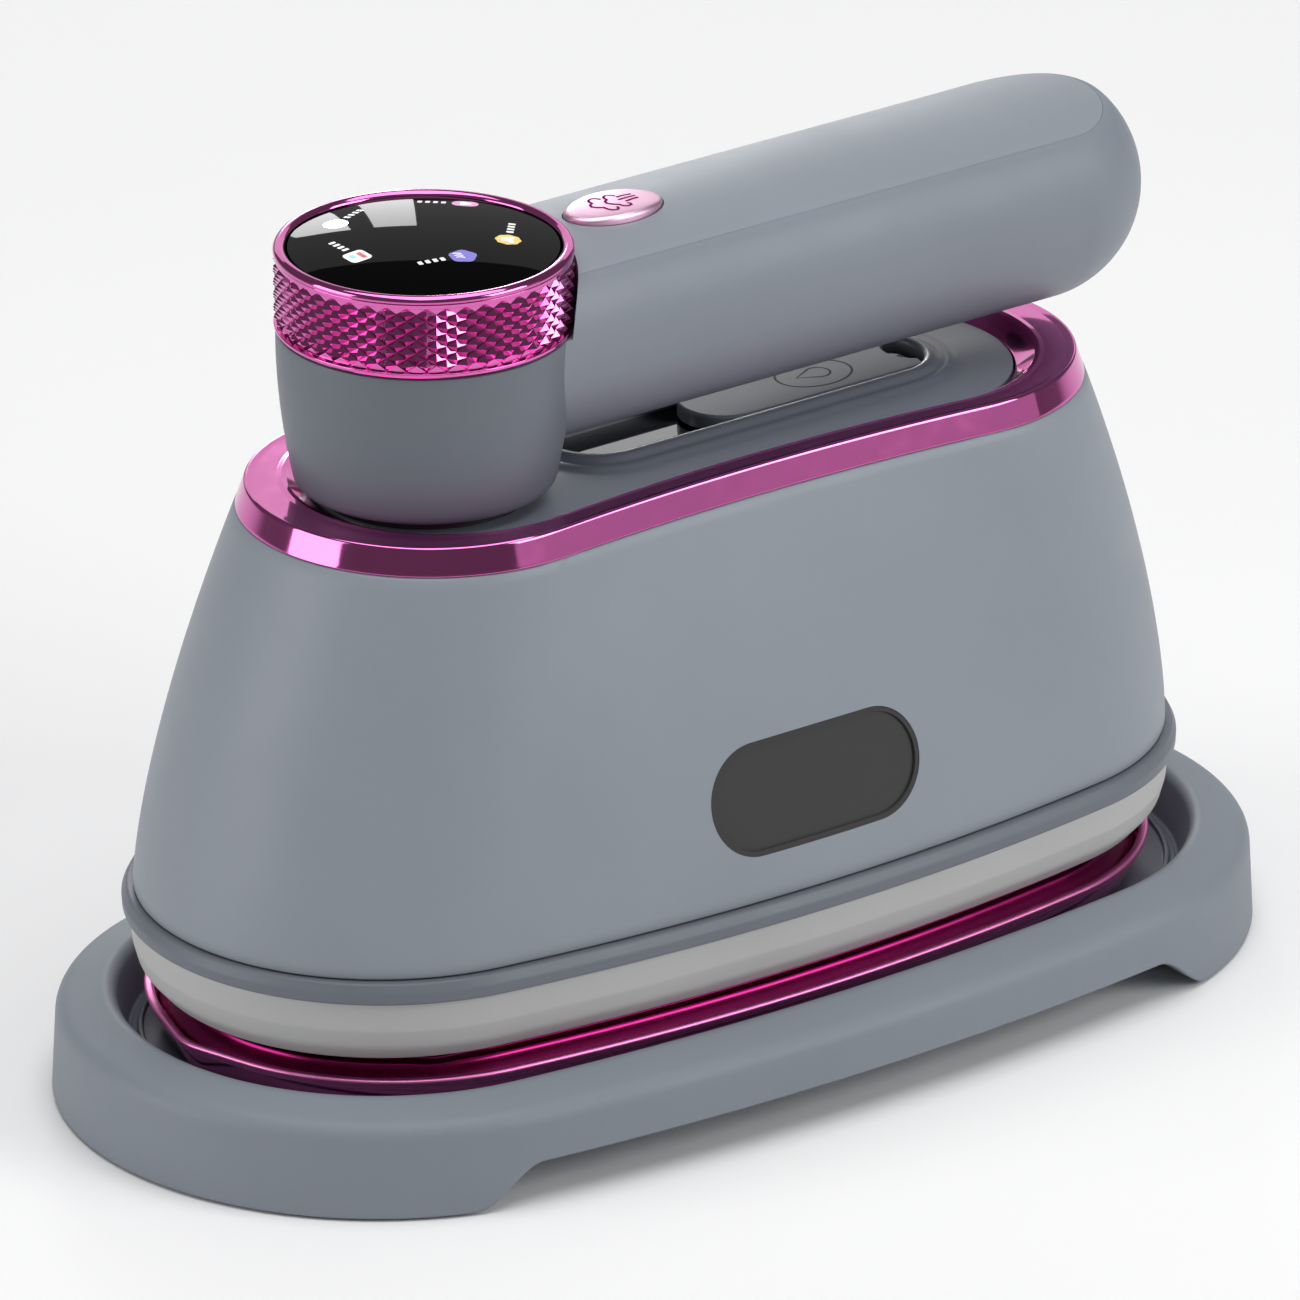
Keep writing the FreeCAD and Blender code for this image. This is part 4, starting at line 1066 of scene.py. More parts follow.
class ScatterTree:
    """Geometry Nodes tree that sets one shape on every point of a piece."""

    def __init__(self, name: str) -> None:
        """Starts an empty tree called `name`."""
        self.group = bpy.data.node_groups.new(name, "GeometryNodeTree")
        face = self.group.interface
        face.new_socket("Geometry", in_out="INPUT", socket_type="NodeSocketGeometry")
        face.new_socket("Geometry", in_out="OUTPUT", socket_type="NodeSocketGeometry")
        self.entry = self.group.nodes.new("NodeGroupInput")
        self.exit = self.group.nodes.new("NodeGroupOutput")
        self.values: Dict[str, float] = {}

    def add(self, kind: str) -> bpy.types.Node:
        """A new node of the given kind."""
        return self.group.nodes.new(kind)

    def link(self, a: bpy.types.NodeSocket, b: bpy.types.NodeSocket) -> None:
        """Joins two sockets."""
        self.group.links.new(a, b)

    def size(self, name: str, value: float) -> bpy.types.NodeSocket:
        """A named size of the tree.

        Args:
            name: name of the input.
            value: what the modifier sets it to.

        Returns:
            The socket that carries it.
        """
        item = self.group.interface.new_socket(name, in_out="INPUT", socket_type="NodeSocketFloat")
        item.default_value = value
        self.values[item.identifier] = value
        return self.entry.outputs[name]

    def scatter(self, shape: bpy.types.NodeSocket, finish: Finish,
                rotation: Optional[bpy.types.NodeSocket] = None) -> None:
        """Sets the shape on the points, makes it real and gives it its finish.

        Args:
            shape: mesh socket of the shape.
            finish: its finish.
            rotation: socket that turns each copy, if any.
        """
        place = self.add("GeometryNodeInstanceOnPoints")
        real = self.add("GeometryNodeRealizeInstances")
        paint = self.add("GeometryNodeSetMaterial")
        paint.inputs["Material"].default_value = finish.material()
        self.link(self.entry.outputs["Geometry"], place.inputs["Points"])
        self.link(shape, place.inputs["Instance"])
        if rotation is not None:
            self.link(rotation, place.inputs["Rotation"])
        self.link(place.outputs["Instances"], real.inputs["Geometry"])
        self.link(real.outputs["Geometry"], paint.inputs["Geometry"])
        self.link(paint.outputs["Geometry"], self.exit.inputs["Geometry"])

    def apply(self, piece: bpy.types.Object) -> bpy.types.Object:
        """Runs the tree on a piece and keeps the result as a plain mesh."""
        tool = piece.modifiers.new("scatter", "NODES")
        tool.node_group = self.group
        for identifier, value in self.values.items():
            tool[identifier] = value
        return bake_modifiers(piece)


# ---------------------------------------------------------------- lower body

@dataclass
class Housing:
    """Heat-proof band, skirt and the tapering shell."""

    cx: float = -0.95
    half_len: float = 93.6
    half_wid: float = 44.4
    end_r: float = 40.2
    wall: float = 2.2
    proud: float = 1.3
    plate_z: Point2 = (28.6, 30.6)
    skirt_t: float = 3.0
    shell_z: float = 35.25
    shell_len: float = 93.2
    shell_wid: float = 43.8
    shell_r: float = 39.6
    top_len: float = 76.5
    top_wid: float = 28.5
    top_r: float = 30.9
    top_cx: float = 0.8
    window_half_len: float = 20.6
    window_half_h: float = 9.0
    window_y: Point2 = (-60.0, -20.0)
    end_power: float = 1.55
    side_power: float = 1.3
    rim: float = 6.0
    levels: int = 36

    def outline(self) -> Oval:
        """Outline of the band and, a little larger, of the skirt."""
        return Oval(self.half_len, self.half_wid, self.end_r, self.cx, ends=96, sides=72)

    def band(self) -> bpy.types.Object:
        """Band that curls in under the skirt."""
        low, high = span("base_frame")
        corners = [(3.4, low[2]), (1.0, 23.4), (0.15, 26.6), (0.0, high[2]), (self.wall, high[2]),
                   (self.wall + 0.3, 24.0), (3.4 + self.wall, low[2])]
        section = soften(corners, [0.5, 3.0, 3.0, 0.3, 0.3, 2.0, 0.5], steps=5, closed=True)
        skin = ring_piece("band_wall", self.outline().stack(section), loop=True)
        sheet = [(self.wall + 0.05, z) for z in self.plate_z]
        return merge("heatproof_band", [skin, ring_piece("band_plate", self.outline().stack(sheet))])

    def skirt(self) -> bpy.types.Object:
        """Proud ring between the band and the shell."""
        low, high = span("skirt_ring")
        out = -self.proud
        corners = [(out, low[2]), (out - 0.1, high[2] - 1.5), (out + 0.7, high[2]),
                   (out + self.skirt_t, high[2]), (out + self.skirt_t, low[2])]
        section = soften(corners, [0.4, 1.0, 0.5, 0.2, 0.2], steps=5, closed=True)
        return ring_piece("skirt", self.outline().stack(section), loop=True)

    def shell_outline(self, z: float) -> Oval:
        """Section of the shell: full oval at the skirt, waisted at the top.

        Args:
            z: height of the section.

        Returns:
            The section's outline.
        """
        top = span("body_shell")[1][2]
        u = min(1.0, max(0.0, (z - self.shell_z) / (top - self.shell_z)))
        ends, sides = 1.0 - u ** self.end_power, 1.0 - u ** self.side_power
        return Oval(self.top_len + (self.shell_len - self.top_len) * ends,
                    self.top_wid + (self.shell_wid - self.top_wid) * sides,
                    self.top_r + (self.shell_r - self.top_r) * sides,
                    self.cx + (self.top_cx - self.cx) * u, ends=96, sides=96)

    def shell(self) -> bpy.types.Object:
        """Tapering shell with the window opening."""
        base, top = self.shell_z, span("body_shell")[1][2]
        rings = self.shell_outline(base).stack([(0.5, base), (0.15, base + 0.15)])
        for z in np.linspace(base + 0.5, top - 0.3, self.levels):
            rings.append(self.shell_outline(z).ring(z))
        rings += self.shell_outline(top).stack([(0.3, top), (self.rim, top)])
        for z in np.linspace(top - 2.0, base, 12):
            rings.append(self.shell_outline(z).inset(self.rim if z > top - 3.0 else self.wall).ring(z))
        piece = ring_piece("shell", rings, loop=True)
        build = bmesh.new()
        mid = sum(span("window_gasket")) / 2.0
        half = self.window_half_h
        pill = Oval(self.window_half_len, half + MIN_SIDE, half, mid[0], ends=64, sides=8).ring(0.0)
        add_rings(build, [np.column_stack((pill[:, 0], np.full(len(pill), y), mid[2] + pill[:, 1]))
                          for y in self.window_y])
        return cut_with(piece, [finish_mesh("window_cutter", build)])

    def build(self) -> None:
        """Builds and dresses the housing."""
        install(dress(self.band(), Finish.BAND), "iron", "band_grey", "base_frame")
        # The skirt takes the darkened copy of the shell plastic: painted shade.
        install(dress(self.skirt(), Finish.SHADED_SLATE), "iron", "shell_grey", "skirt_ring")
        install(dress(self.shell(), Finish.SHELL), "iron", "shell_grey", "body_shell")


# ---------------------------------------------------------------- top of the body

@dataclass
class TopDeck:
    """Plated trim ring, deck with its slot lip, and the sliding tank cover."""

    cx: float = 0.8
    trim: Tuple[float, float, float] = (76.4, 28.5, 30.9)
    face: Tuple[float, float, float] = (68.5, 22.9, 25.3)
    deck: Tuple[float, float, float] = (64.1, 20.2, 22.6)
    lean: float = 1.6
    inner_run: float = 4.1
    inner_z: float = 99.0
    gap: float = 0.3
    slot_x: Tuple[float, float] = (-20.5, 50.5)
    slot_half: float = 7.9
    slot_lip: Tuple[Point2, ...] = (
        (7.2, 0.0), (5.9, 0.02), (5.2, 0.22), (4.5, 0.42), (3.8, 0.4), (3.2, 0.34), (2.7, 0.55),
        (2.1, 0.98), (1.5, 1.17), (0.9, 1.18), (0.4, 1.02), (0.1, 0.7), (0.0, 0.35))
    cover_gap: float = 0.4
    badge: Tuple[float, float, float] = (30.5, 6.7, 5.1)
    scoop_r: float = 5.5
    scoop_in: float = 3.4
    scoop_half: float = 4.6

    def plan(self, sizes: Tuple[float, float, float], inset: float = 0.0) -> Oval:
        """Waisted outline of the given half length, half width and end radius."""
        return Oval(sizes[0], sizes[1], sizes[2], self.cx, ends=96, sides=96).inset(inset)

    def trim_ring(self) -> bpy.types.Object:
        """Trim ring: leaning band, bead, flat face and sloping inner wall."""
        low, high = span("trim_ring")
        inner = self.trim[0] - self.face[0]
        end = inner + self.inner_run
        run = OvalRun(((0.0, self.plan(self.trim)), (self.lean, self.plan(self.trim, self.lean)),
                       (inner, self.plan(self.face)), (end, self.plan(self.deck, -self.gap))))
        top = high[2]
        corners = [(0.0, low[2]), (self.lean - 0.1, top), (self.lean + 1.5, top - 0.12),
                   (inner - 1.0, top - 0.12), (inner - 0.1, top), (inner + 0.7, top - 0.2),
                   (end, self.inner_z), (end, low[2])]
        radii = [0.15, 0.55, 0.8, 0.8, 0.4, 0.4, 0.25, 0.1]
        section = soften(corners, radii, steps=5, closed=True)
        return ring_piece("trim", [run.at(d).ring(z) for d, z in section], loop=True)

    def slot_plan(self, out: float) -> Oval:
        """Outline of the slot, `out` outside its edge."""
        x0, x1 = self.slot_x
        return Oval((x1 - x0) / 2.0 + out, self.slot_half + MIN_SIDE + out, self.slot_half + out,
                    (x0 + x1) / 2.0, ends=96, sides=96)

    def deck_panel(self) -> bpy.types.Object:
        """Deck with two soft ridges round the slot."""
        low, high = span("deck_panel")
        flat = high[2] - 1.2
        outer = soften([(0.0, low[2]), (0.0, flat), (3.0, flat)], [0, 0.5, 0], steps=4)
        rings = self.plan(self.deck).stack(outer[:-1] + [(1.6, flat)])
        for out, z in [(out, flat + rise) for out, rise in self.slot_lip] + [(0.0, low[2])]:
            ring = self.slot_plan(out).ring(z)
            if out > 6.0:
                wide = self.plan(self.deck, 1.9).ring(z)
                bound = np.maximum(np.abs(wide[:, 1]), 7.0)
                ring[:, 1] = np.sign(ring[:, 1]) * np.minimum(np.abs(ring[:, 1]), bound)
            rings.append(ring)
        return ring_piece("deck", rings, loop=True)

    def cover_outline(self) -> np.ndarray:
        """Plan of the cover: round front and hollow rear end, counter-clockwise."""
        low, high = span("tank_cover")
        half, corner = self.slot_half - self.cover_gap, 1.0
        turn = math.degrees(math.asin(min(1.0, self.scoop_half / self.scoop_r)))
        points = arc((low[0] + half, 0.0), half, 90.0, 270.0, 25)
        points += arc((high[0] - corner, corner - half), corner, -90.0, 0.0, 7)
        points += arc((high[0] + self.scoop_in, 0.0), self.scoop_r, 180.0 + turn, 180.0 - turn, 13)
        points += arc((high[0] - corner, half - corner), corner, 0.0, 90.0, 7)
        return np.array(points)

    def cover(self) -> bpy.types.Object:
        """Sliding cover with the engraved drop badge."""
        low, high = span("tank_cover")
        build = bmesh.new()
        add_plate(build, self.cover_outline(), low[2], high[2], edge=0.45)
        body = finish_mesh("cover_body", build, sharp=35.0)
        build = bmesh.new()
        x0, x1 = low[0] + 9.0, high[0] - 4.0
        for y in (-6.0, 6.0):
            strip = np.array([(x0, y - 3.0), (x1, y - 3.0), (x1, y + 3.0), (x0, y + 3.0)])
            add_plate(build, strip, low[2], low[2] + 0.6, edge=0.1)
        flange = finish_mesh("cover_flange", build, sharp=35.0)
        lines = self.badge_lines(high[2] + 0.012)
        piece = merge("cover", [body, flange, lines], sharp=35.0)
        dress(piece, Finish.DECK, Finish.GROOVE)
        paint_faces(piece, 1, lambda c: c.z > high[2] + 0.005)
        return piece

    def end_glass(self) -> bpy.types.Object:
        """Clear faceted end of the tank that shows in the hollow behind the cover."""
        low, high = span("tank_cover")
        scoop, end = high[0] + self.scoop_in, self.slot_x[1] - self.slot_half
        rim = arc((end, 0.0), 7.5, -34.0, 34.0, 5) + arc((scoop, 0.0), 5.2, 128.0, 232.0, 5)
        build = bmesh.new()
        floor = low[2] - 0.4
        foot = [build.verts.new(Vector((x, y, floor)) * MM) for x, y in rim]
        edge = [build.verts.new(Vector((x, y, floor + 0.35 + 0.55 * (i % 2))) * MM)
                for i, (x, y) in enumerate(rim)]
        peak = build.verts.new(Vector((scoop - 2.9, 0.4, high[2] - 1.1)) * MM)
        for i in range(len(rim)):
            j = (i + 1) % len(rim)
            build.faces.new((edge[i], edge[j], peak))
            build.faces.new((foot[i], foot[j], edge[j], edge[i]))
        build.faces.new(foot[::-1])
        return finish_mesh("tank_end_glass", build, sharp=5.0)

    def badge_lines(self, z: float) -> bpy.types.Object:
        """Fine lines of the oval badge and the water drop in it.

        Args:
            z: height of the lines.

        Returns:
            The lines as thin strips.
        """
        cx, a, b = self.badge
        build = bmesh.new()
        drop = [(cx - 3.4, 0.0)] + arc((cx + 0.9, 0.0), 2.0, -128.0, 128.0, 21)
        for line, width in ((ellipse(a, b, z, cx, 64)[:, :2], 0.42), (drop, 0.4)):
            add_ribbon(build, line, width, lambda x, y: z, closed=True)
        return finish_mesh("badge_lines", build)

    def build(self) -> None:
        """Builds and dresses the top of the body."""
        install(dress(self.trim_ring(), Finish.MAGENTA), "iron", "magenta_metal", "trim_ring")
        install(dress(self.deck_panel(), Finish.DECK), "iron", "deck_grey", "deck_panel")
        install(self.cover(), "cover", "deck_grey", "tank_cover")
        install(dress(self.end_glass(), Finish.CLEAR), "iron", "smoked_tank")


# ---------------------------------------------------------------- dial

@dataclass(frozen=True)
class Badge:
    """One lit mode badge under the display glass."""

    place: Point2
    label: Point2
    finish: Finish
    outline: Tuple[Point2, ...]
    marks: Tuple[Tuple[Finish, Tuple[Point2, ...]], ...]


def blob(radius: float, lobes: int = 0, depth: float = 0.0) -> Tuple[Point2, ...]:
    """Round or lobed outline about the origin.

    Args:
        radius: mean radius.
        lobes: number of lobes.
        depth: how far the lobes stand out, as a share of the radius.

    Returns:
        The outline, counter-clockwise.
    """
    out = []
    for a in np.linspace(0.0, 2.0 * math.pi, 40, endpoint=False):
        r = radius * (1.0 + depth * math.cos(lobes * a))
        out.append((r * math.cos(a), r * math.sin(a)))
    return tuple(out)


def tile(width: float, height: float, corner: float, at: Point2 = (0.0, 0.0)) -> Tuple[Point2, ...]:
    """Rounded rectangle, counter-clockwise.

    Args:
        width: its width.
        height: its height.
        corner: radius of its corners.
        at: its middle.

    Returns:
        The outline.
    """
    out = []
    for sx, sy, start in ((1, 1, 0.0), (-1, 1, 90.0), (-1, -1, 180.0), (1, -1, 270.0)):
        middle = (at[0] + sx * (width / 2.0 - corner), at[1] + sy * (height / 2.0 - corner))
        out += arc(middle, corner, start, start + 90.0, 7)
    return tuple(out)


def bow(radius: float, middle: Point2, start: float, end: float, width: float) -> Tuple[Point2, ...]:
    """Curved bar between two angles, in degrees, round a middle point."""
    return tuple(arc(middle, radius + width, start, end, 9) + arc(middle, radius, end, start, 9))


@dataclass
class Dial:
    """Knurled control ring and the domed display with its mode badges."""

    cx: float = -46.0
    around: int = 46
    rows: int = 9
    tip_r: float = 23.5
    depth: float = 0.78
    zone: Point2 = (128.15, 138.75)
    hub_r: float = 20.05
    bore_r: float = 21.5
    flange_t: float = 1.9
    glass_r: float = 21.2
    glass_rise: float = 1.7
    label: Tuple[float, float] = (0.75, 1.15)

    def ring(self) -> bpy.types.Object:
        """Ring body: lower lip, valley wall, smooth band and bright bead."""
        low, high = span("dial_ring")
        z0, z1 = low[2], high[2]
        wall = self.tip_r - self.depth - 0.02
        top = z1 - 0.95
        corners = [(self.hub_r, z0), (self.tip_r - 0.25, z0), (self.tip_r - 0.05, z0 + 0.3),
                   (self.tip_r - 0.05, self.zone[0] - 0.1), (wall, self.zone[0] + 0.05),
                   (wall, self.zone[1] - 0.05), (self.tip_r - 0.15, self.zone[1] + 0.1),
                   (self.tip_r - 0.15, top - 0.35), (self.tip_r - 0.4, top - 0.2)]
        radii = [0.1, 0.15, 0.15, 0.15, 0.05, 0.05, 0.12, 0.12, 0.05]
        section = soften(corners + [(self.bore_r, top)], radii + [0.0], steps=3)[:-1]
        mid, half = (self.tip_r + self.bore_r) / 2.0, (self.tip_r - self.bore_r) / 2.0
        for u, v in arc((0.0, 0.0), 1.0, -12.0, 180.0, 17):
            section.append((mid + half * u, top + (z1 - top) * v))
        section += [(self.bore_r, z0 + self.flange_t), (self.hub_r, z0 + self.flange_t)]
        build = bmesh.new()
        add_turned(build, section, self.cx, loop=True, count=192)
        return finish_mesh("dial_body", build, sharp=50.0)

    def knurl(self) -> bpy.types.Object:
        """Diamond knurl: four-sided points in staggered rows."""
        build = bmesh.new()
        step = (self.zone[1] - self.zone[0]) / (self.rows + 1)
        root = self.tip_r - self.depth
        for row in range(self.rows):
            for k in range(self.around):
                a = 2.0 * math.pi * (k + 0.5 * (row % 2)) / self.around
                z = self.zone[0] + step * (row + 1)
                build.verts.new(Vector((self.cx + root * math.cos(a), root * math.sin(a), z)) * MM)
        points = finish_mesh("knurl", build)
        tree = ScatterTree("diamond_knurl")
        cone = tree.add("GeometryNodeMeshCone")
        cone.fill_type = "NONE"
        for name, value in (("Vertices", 4), ("Radius Top", 0.0), ("Radius Bottom", 1.0)):
            cone.inputs[name].default_value = value
        tree.link(tree.size("Point Height", self.depth * MM), cone.inputs["Depth"])
        half_up = tree.size("Half Height", step * MM)
        half_round = tree.size("Half Width", math.pi * root / self.around * MM)
        size = tree.add("ShaderNodeCombineXYZ")
        size.inputs["Z"].default_value = 1.0
        tree.link(half_up, size.inputs["X"])
        tree.link(half_round, size.inputs["Y"])
        shaped = tree.add("GeometryNodeTransform")
        tree.link(cone.outputs["Mesh"], shaped.inputs["Geometry"])
        tree.link(size.outputs["Vector"], shaped.inputs["Scale"])
        tree.scatter(shaped.outputs["Geometry"], Finish.MAGENTA, self.outward(tree))
        piece = tree.apply(points)
        piece.data.set_sharp_from_angle(angle=math.radians(12.0))
        return piece

    def outward(self, tree: ScatterTree) -> bpy.types.NodeSocket:
        """Rotation that points each copy straight out from the dial's axis.

        Args:
            tree: tree that takes the nodes.

        Returns:
            The rotation socket.
        """
        where = tree.add("GeometryNodeInputPosition")
        parts = tree.add("ShaderNodeSeparateXYZ")
        shift = tree.add("ShaderNodeMath")
        angle = tree.add("ShaderNodeMath")
        turn = tree.add("ShaderNodeCombineXYZ")
        shift.operation, angle.operation = "SUBTRACT", "ARCTAN2"
        turn.inputs["Y"].default_value = math.pi / 2.0
        tree.link(where.outputs["Position"], parts.inputs["Vector"])
        tree.link(parts.outputs["X"], shift.inputs[0])
        tree.link(tree.size("Axis Along", self.cx * MM), shift.inputs[1])
        tree.link(parts.outputs["Y"], angle.inputs[0])
        tree.link(shift.outputs["Value"], angle.inputs[1])
        tree.link(angle.outputs["Value"], turn.inputs["Z"])
        return turn.outputs["Vector"]

    def glass_height(self, x: float, y: float) -> float:
        """Height of the domed glass over (x, y)."""
        top = span("display_glass")[1][2]
        radius = (self.glass_r ** 2 + self.glass_rise ** 2) / (2.0 * self.glass_rise)
        return top - radius + math.sqrt(radius ** 2 - (x - self.cx) ** 2 - y ** 2)

    def badges(self) -> Tuple[Badge, ...]:
        """The five mode badges with their simple signs."""
        white, red = Finish.LAMP_WHITE, Finish.LAMP_RED
        shirt = ((-1.3, 0.9), (-1.3, 0.2), (-0.75, 0.2), (-0.75, -1.1), (0.75, -1.1), (0.75, 0.2),
                 (1.3, 0.2), (1.3, 0.9), (0.4, 0.9), (0.0, 0.6), (-0.4, 0.9))
        drop = [(0.0, 1.3)] + arc((0.0, -0.3), 0.75, 150.0, 390.0, 13)
        waves = tuple((white, bow(1.0, (-0.9, -1.35 + 0.72 * k), 35.0, 105.0, 0.34)) for k in range(3))
        page = ((red, tile(2.3, 0.8, 0.15, (0.1, 0.75))),
                (Finish.LAMP_SKY, tile(1.3, 0.9, 0.2, (-0.3, -0.7))))
        clover = ((white, blob(0.95, 3, 0.2)),)
        return (
            Badge((-35.6, -8.0), (-30.0, -1.6), Finish.LAMP_YELLOW, blob(2.0, 8, 0.04),
                  ((white, shirt[::-1]),)),
            Badge((-45.7, -9.9), (-51.2, -8.6), Finish.LAMP_INDIGO, blob(2.15, 5, 0.06), waves),
            Badge((-58.5, 0.3), (-58.2, 6.2), Finish.LAMP_WHITE, tile(3.9, 3.7, 0.9), page),
            Badge((-52.7, 14.0), (-46.5, 16.6), Finish.LAMP_SKY, blob(2.0),
                  ((white, tuple(drop[::-1])),)),
            Badge((-31.1, 9.4), (-35.6, 13.6), Finish.LAMP_PINK, tile(4.2, 3.0, 1.4), clover),
        )

    def display_marks(self) -> bpy.types.Object:
        """Badges and their plain label bars, laid on the dome."""
        finishes: List[Finish] = []
        build = bmesh.new()

        def lay(outline: Sequence[Point2], badge: Badge, finish: Finish, lift: float) -> None:
            """Lays one outline of a badge on the dome at a small lift."""
            away = np.array(badge.place) - np.array(badge.label)
            c, s = away / np.hypot(*away)
            px, py = badge.place
            placed = [(px + c * x - s * y, py + s * x + c * y) for x, y in outline]
            before = len(build.faces)
            add_patch(build, placed, lambda x, y: self.glass_height(x, y) + lift)
            if finish not in finishes:
                finishes.append(finish)
            build.faces.ensure_lookup_table()
            for face in build.faces[before:]:
                face.material_index = finishes.index(finish)

        for badge in self.badges():
            lay(badge.outline, badge, badge.finish, 0.03)
            for finish, mark in badge.marks:
                lay(mark, badge, finish, 0.05)
            width, height = self.label
            for k in range(4):
                lay(tile(width, height, 0.18, (-3.4 - 1.25 * k, 0.0)), badge, Finish.LAMP_WHITE, 0.03)
        bmesh.ops.triangulate(build, faces=build.faces)
        for face in build.faces:
            if face.normal.z < 0.0:
                face.normal_flip()
        mesh = bpy.data.meshes.new("display_marks")
        build.to_mesh(mesh)
        build.free()
        return dress(stand("display_marks", mesh), *finishes)

    def build(self) -> None:
        """Builds and dresses the dial."""
        ring = merge("dial_ring_knurled", [self.ring(), self.knurl()], sharp=14.0)
        self.smooth_plain(ring)
        install(dress(ring, Finish.MAGENTA), "dial", "magenta_metal", "dial_ring")
        install(self.display_marks(), "grip", "black_lens")

    def smooth_plain(self, ring: bpy.types.Object) -> None:
        """Leaves only the knurl's own edges crisp.

        Args:
            ring: ring and knurl in one mesh.
        """
        mesh = ring.data
        sharp = mesh.attributes["sharp_edge"]
        for edge in mesh.edges:
            heights = [mesh.vertices[i].co.z / MM for i in edge.vertices]
            if min(heights) < self.zone[0] - 0.02 or max(heights) > self.zone[1] + 0.02:
                sharp.data[edge.index].value = False


# ---------------------------------------------------------------- grip

@dataclass
class Grip:
    """Round grip with a flattened crest, moulded in one with the turret under the dial."""

    cx: float = -46.0
    cz: float = 123.3
    radius: float = 19.25
    dome_x: float = 72.3
    crest_z: float = 137.7
    crest_r: float = 48.0
    crest_blend: float = 0.55
    split_half: float = 14.3
    split_end: float = 12.0
    seam: float = 0.05
    crease_depth: float = 0.2
    crease_width: float = 0.6
    crease_fade: Point2 = (60.0, 79.0)
    slot_r: float = 24.0
    turret: Tuple[float, float, float] = (20.5, 22.35, 23.2)
    turret_z: Point2 = (101.6, 127.0)
    waist_at: float = 0.42
    seat_r: float = 21.3
    barrel_r: float = 18.2
    bore_r: float = 12.0
    gland_r: float = 6.02
    clear_z: float = 150.0
    button: Tuple[float, float, float] = (-9.3, 8.8, 5.5)
    button_gap: float = 0.25
    screw_x: Tuple[float, float] = (45.0, 64.0)

    def section_radius(self, x: float) -> float:
        """Radius of the round section at `x`."""
        if x <= self.dome_x:
            return self.radius
        return math.sqrt(max(0.0, self.radius ** 2 - (x - self.dome_x) ** 2))

    def surface(self, x: float, angle: float) -> Point2:
        """Point of the outer skin.

        Args:
            x: place along the grip.
            angle: angle from the top, positive towards +Y.

        Returns:
            Its (y, z).
        """
        radius = self.section_radius(x)
        drop = self.crest_r - (self.crest_z - self.cz)
        c = math.cos(angle)
        flat = -drop * c + math.sqrt((drop * c) ** 2 + self.crest_r ** 2 - drop ** 2)
        soft = 0.5 * (flat + radius - math.hypot(flat - radius, self.crest_blend))
        rho = min(soft, radius)
        return rho * math.sin(angle), self.cz + rho * c

    def pinched(self, x: float, angle: float, seam_angle: float) -> Point2:
        """Point of the outer skin, drawn in a little next to the seam.

        Args:
            x: place along the grip.
            angle: angle from the top.
            seam_angle: angle of the seam.

        Returns:
            Its (y, z); the pinch fades out towards the domed end.
        """
        y, z = self.surface(x, angle)
        start, end = self.crease_fade
        fade = min(1.0, max(0.0, (end - x) / (end - start)))
        away = (angle - seam_angle) * self.radius / self.crease_width
        dent = self.crease_depth * ease(fade) * math.exp(-away * away)
        return y - dent * math.sin(angle), z - dent * math.cos(angle)

    def split_at(self, x: float, off: float) -> float:
        """Half width of the top cover's outline at `x`, `off` outside its edge."""
        if x <= self.dome_x:
            return self.split_half + off
        share = (x - self.dome_x) / (self.split_end + off)
        return (self.split_half + off) * math.sqrt(max(0.0, 1.0 - share * share))

    def split_angle(self, x: float, off: float) -> float:
        """Angle at which the skin is `off` outside the edge of the cover.

        Args:
            x: place along the grip.
            off: distance outside the edge.

        Returns:
            The angle from the top.
        """
        want = self.split_at(x, off)
        low, high = 0.0, math.pi / 2.0
        for _ in range(28):
            mid = (low + high) / 2.0
            if self.surface(x, mid)[0] < want:
                low = mid
            else:
                high = mid
        return (low + high) / 2.0

    def stations(self, off: float) -> List[float]:
        """Places along the grip up to the end of the cover, closer together round its end."""
        out = [float(x) for x in np.linspace(self.cx, self.dome_x, 60)]
        end = self.split_end + off
        return out + [self.dome_x + end * math.sin(math.radians(a)) for a in np.linspace(3.0, 89.3, 40)]

    def lower(self) -> bpy.types.Object:
        """Lower grip half and dome, with the seat for the cover in its top."""
        half_seam = self.seam / 2.0
        inside = self.stations(half_seam)
        reach = math.degrees(math.asin((inside[-1] - self.dome_x) / self.radius))
        beyond = [self.dome_x + self.radius * math.sin(math.radians(a))
                  for a in np.linspace(reach + 0.4, 89.2, 26)]
        soft = [0.0, 0.004, 0.009, 0.015, 0.022, 0.032, 0.05, 0.08]
        shares = soft + [float(s) for s in np.linspace(0.11, 1.0, 54)]
        rings = []
        for x in inside + beyond:
            seated = x in inside
            first = self.split_angle(x, half_seam) if seated else 0.0
            side = []
            for share in shares:
                y, z = self.pinched(x, first + (math.pi - first) * share, first)
                side.append((x, y, z))
            drop = 1.2 if seated else 0.0
            side.insert(0, (x, side[0][1], side[0][2] - drop))
            rings.append(self.both_sides(side))
        return self.tube(rings, "grip_lower")

    def both_sides(self, side: Sequence[Tuple[float, float, float]]) -> Ring:
        """Closed section from its +Y half.

        Args:
            side: points of that half, from the top round to the bottom.

        Returns:
            The ring, down one side and up the other.
        """
        other = [(x, -y, z) for x, y, z in side[-2::-1]]
        return np.array(list(side) + other)

    def tube(self, rings: Sequence[Ring], name: str) -> bpy.types.Object:
        """Solid through a run of sections, closed at both ends."""
        build = bmesh.new()
        verts = add_skin(build, rings)
        build.faces.new(verts[0])
        build.faces.new(verts[-1][::-1])
        return finish_mesh(name, build, sharp=45.0)

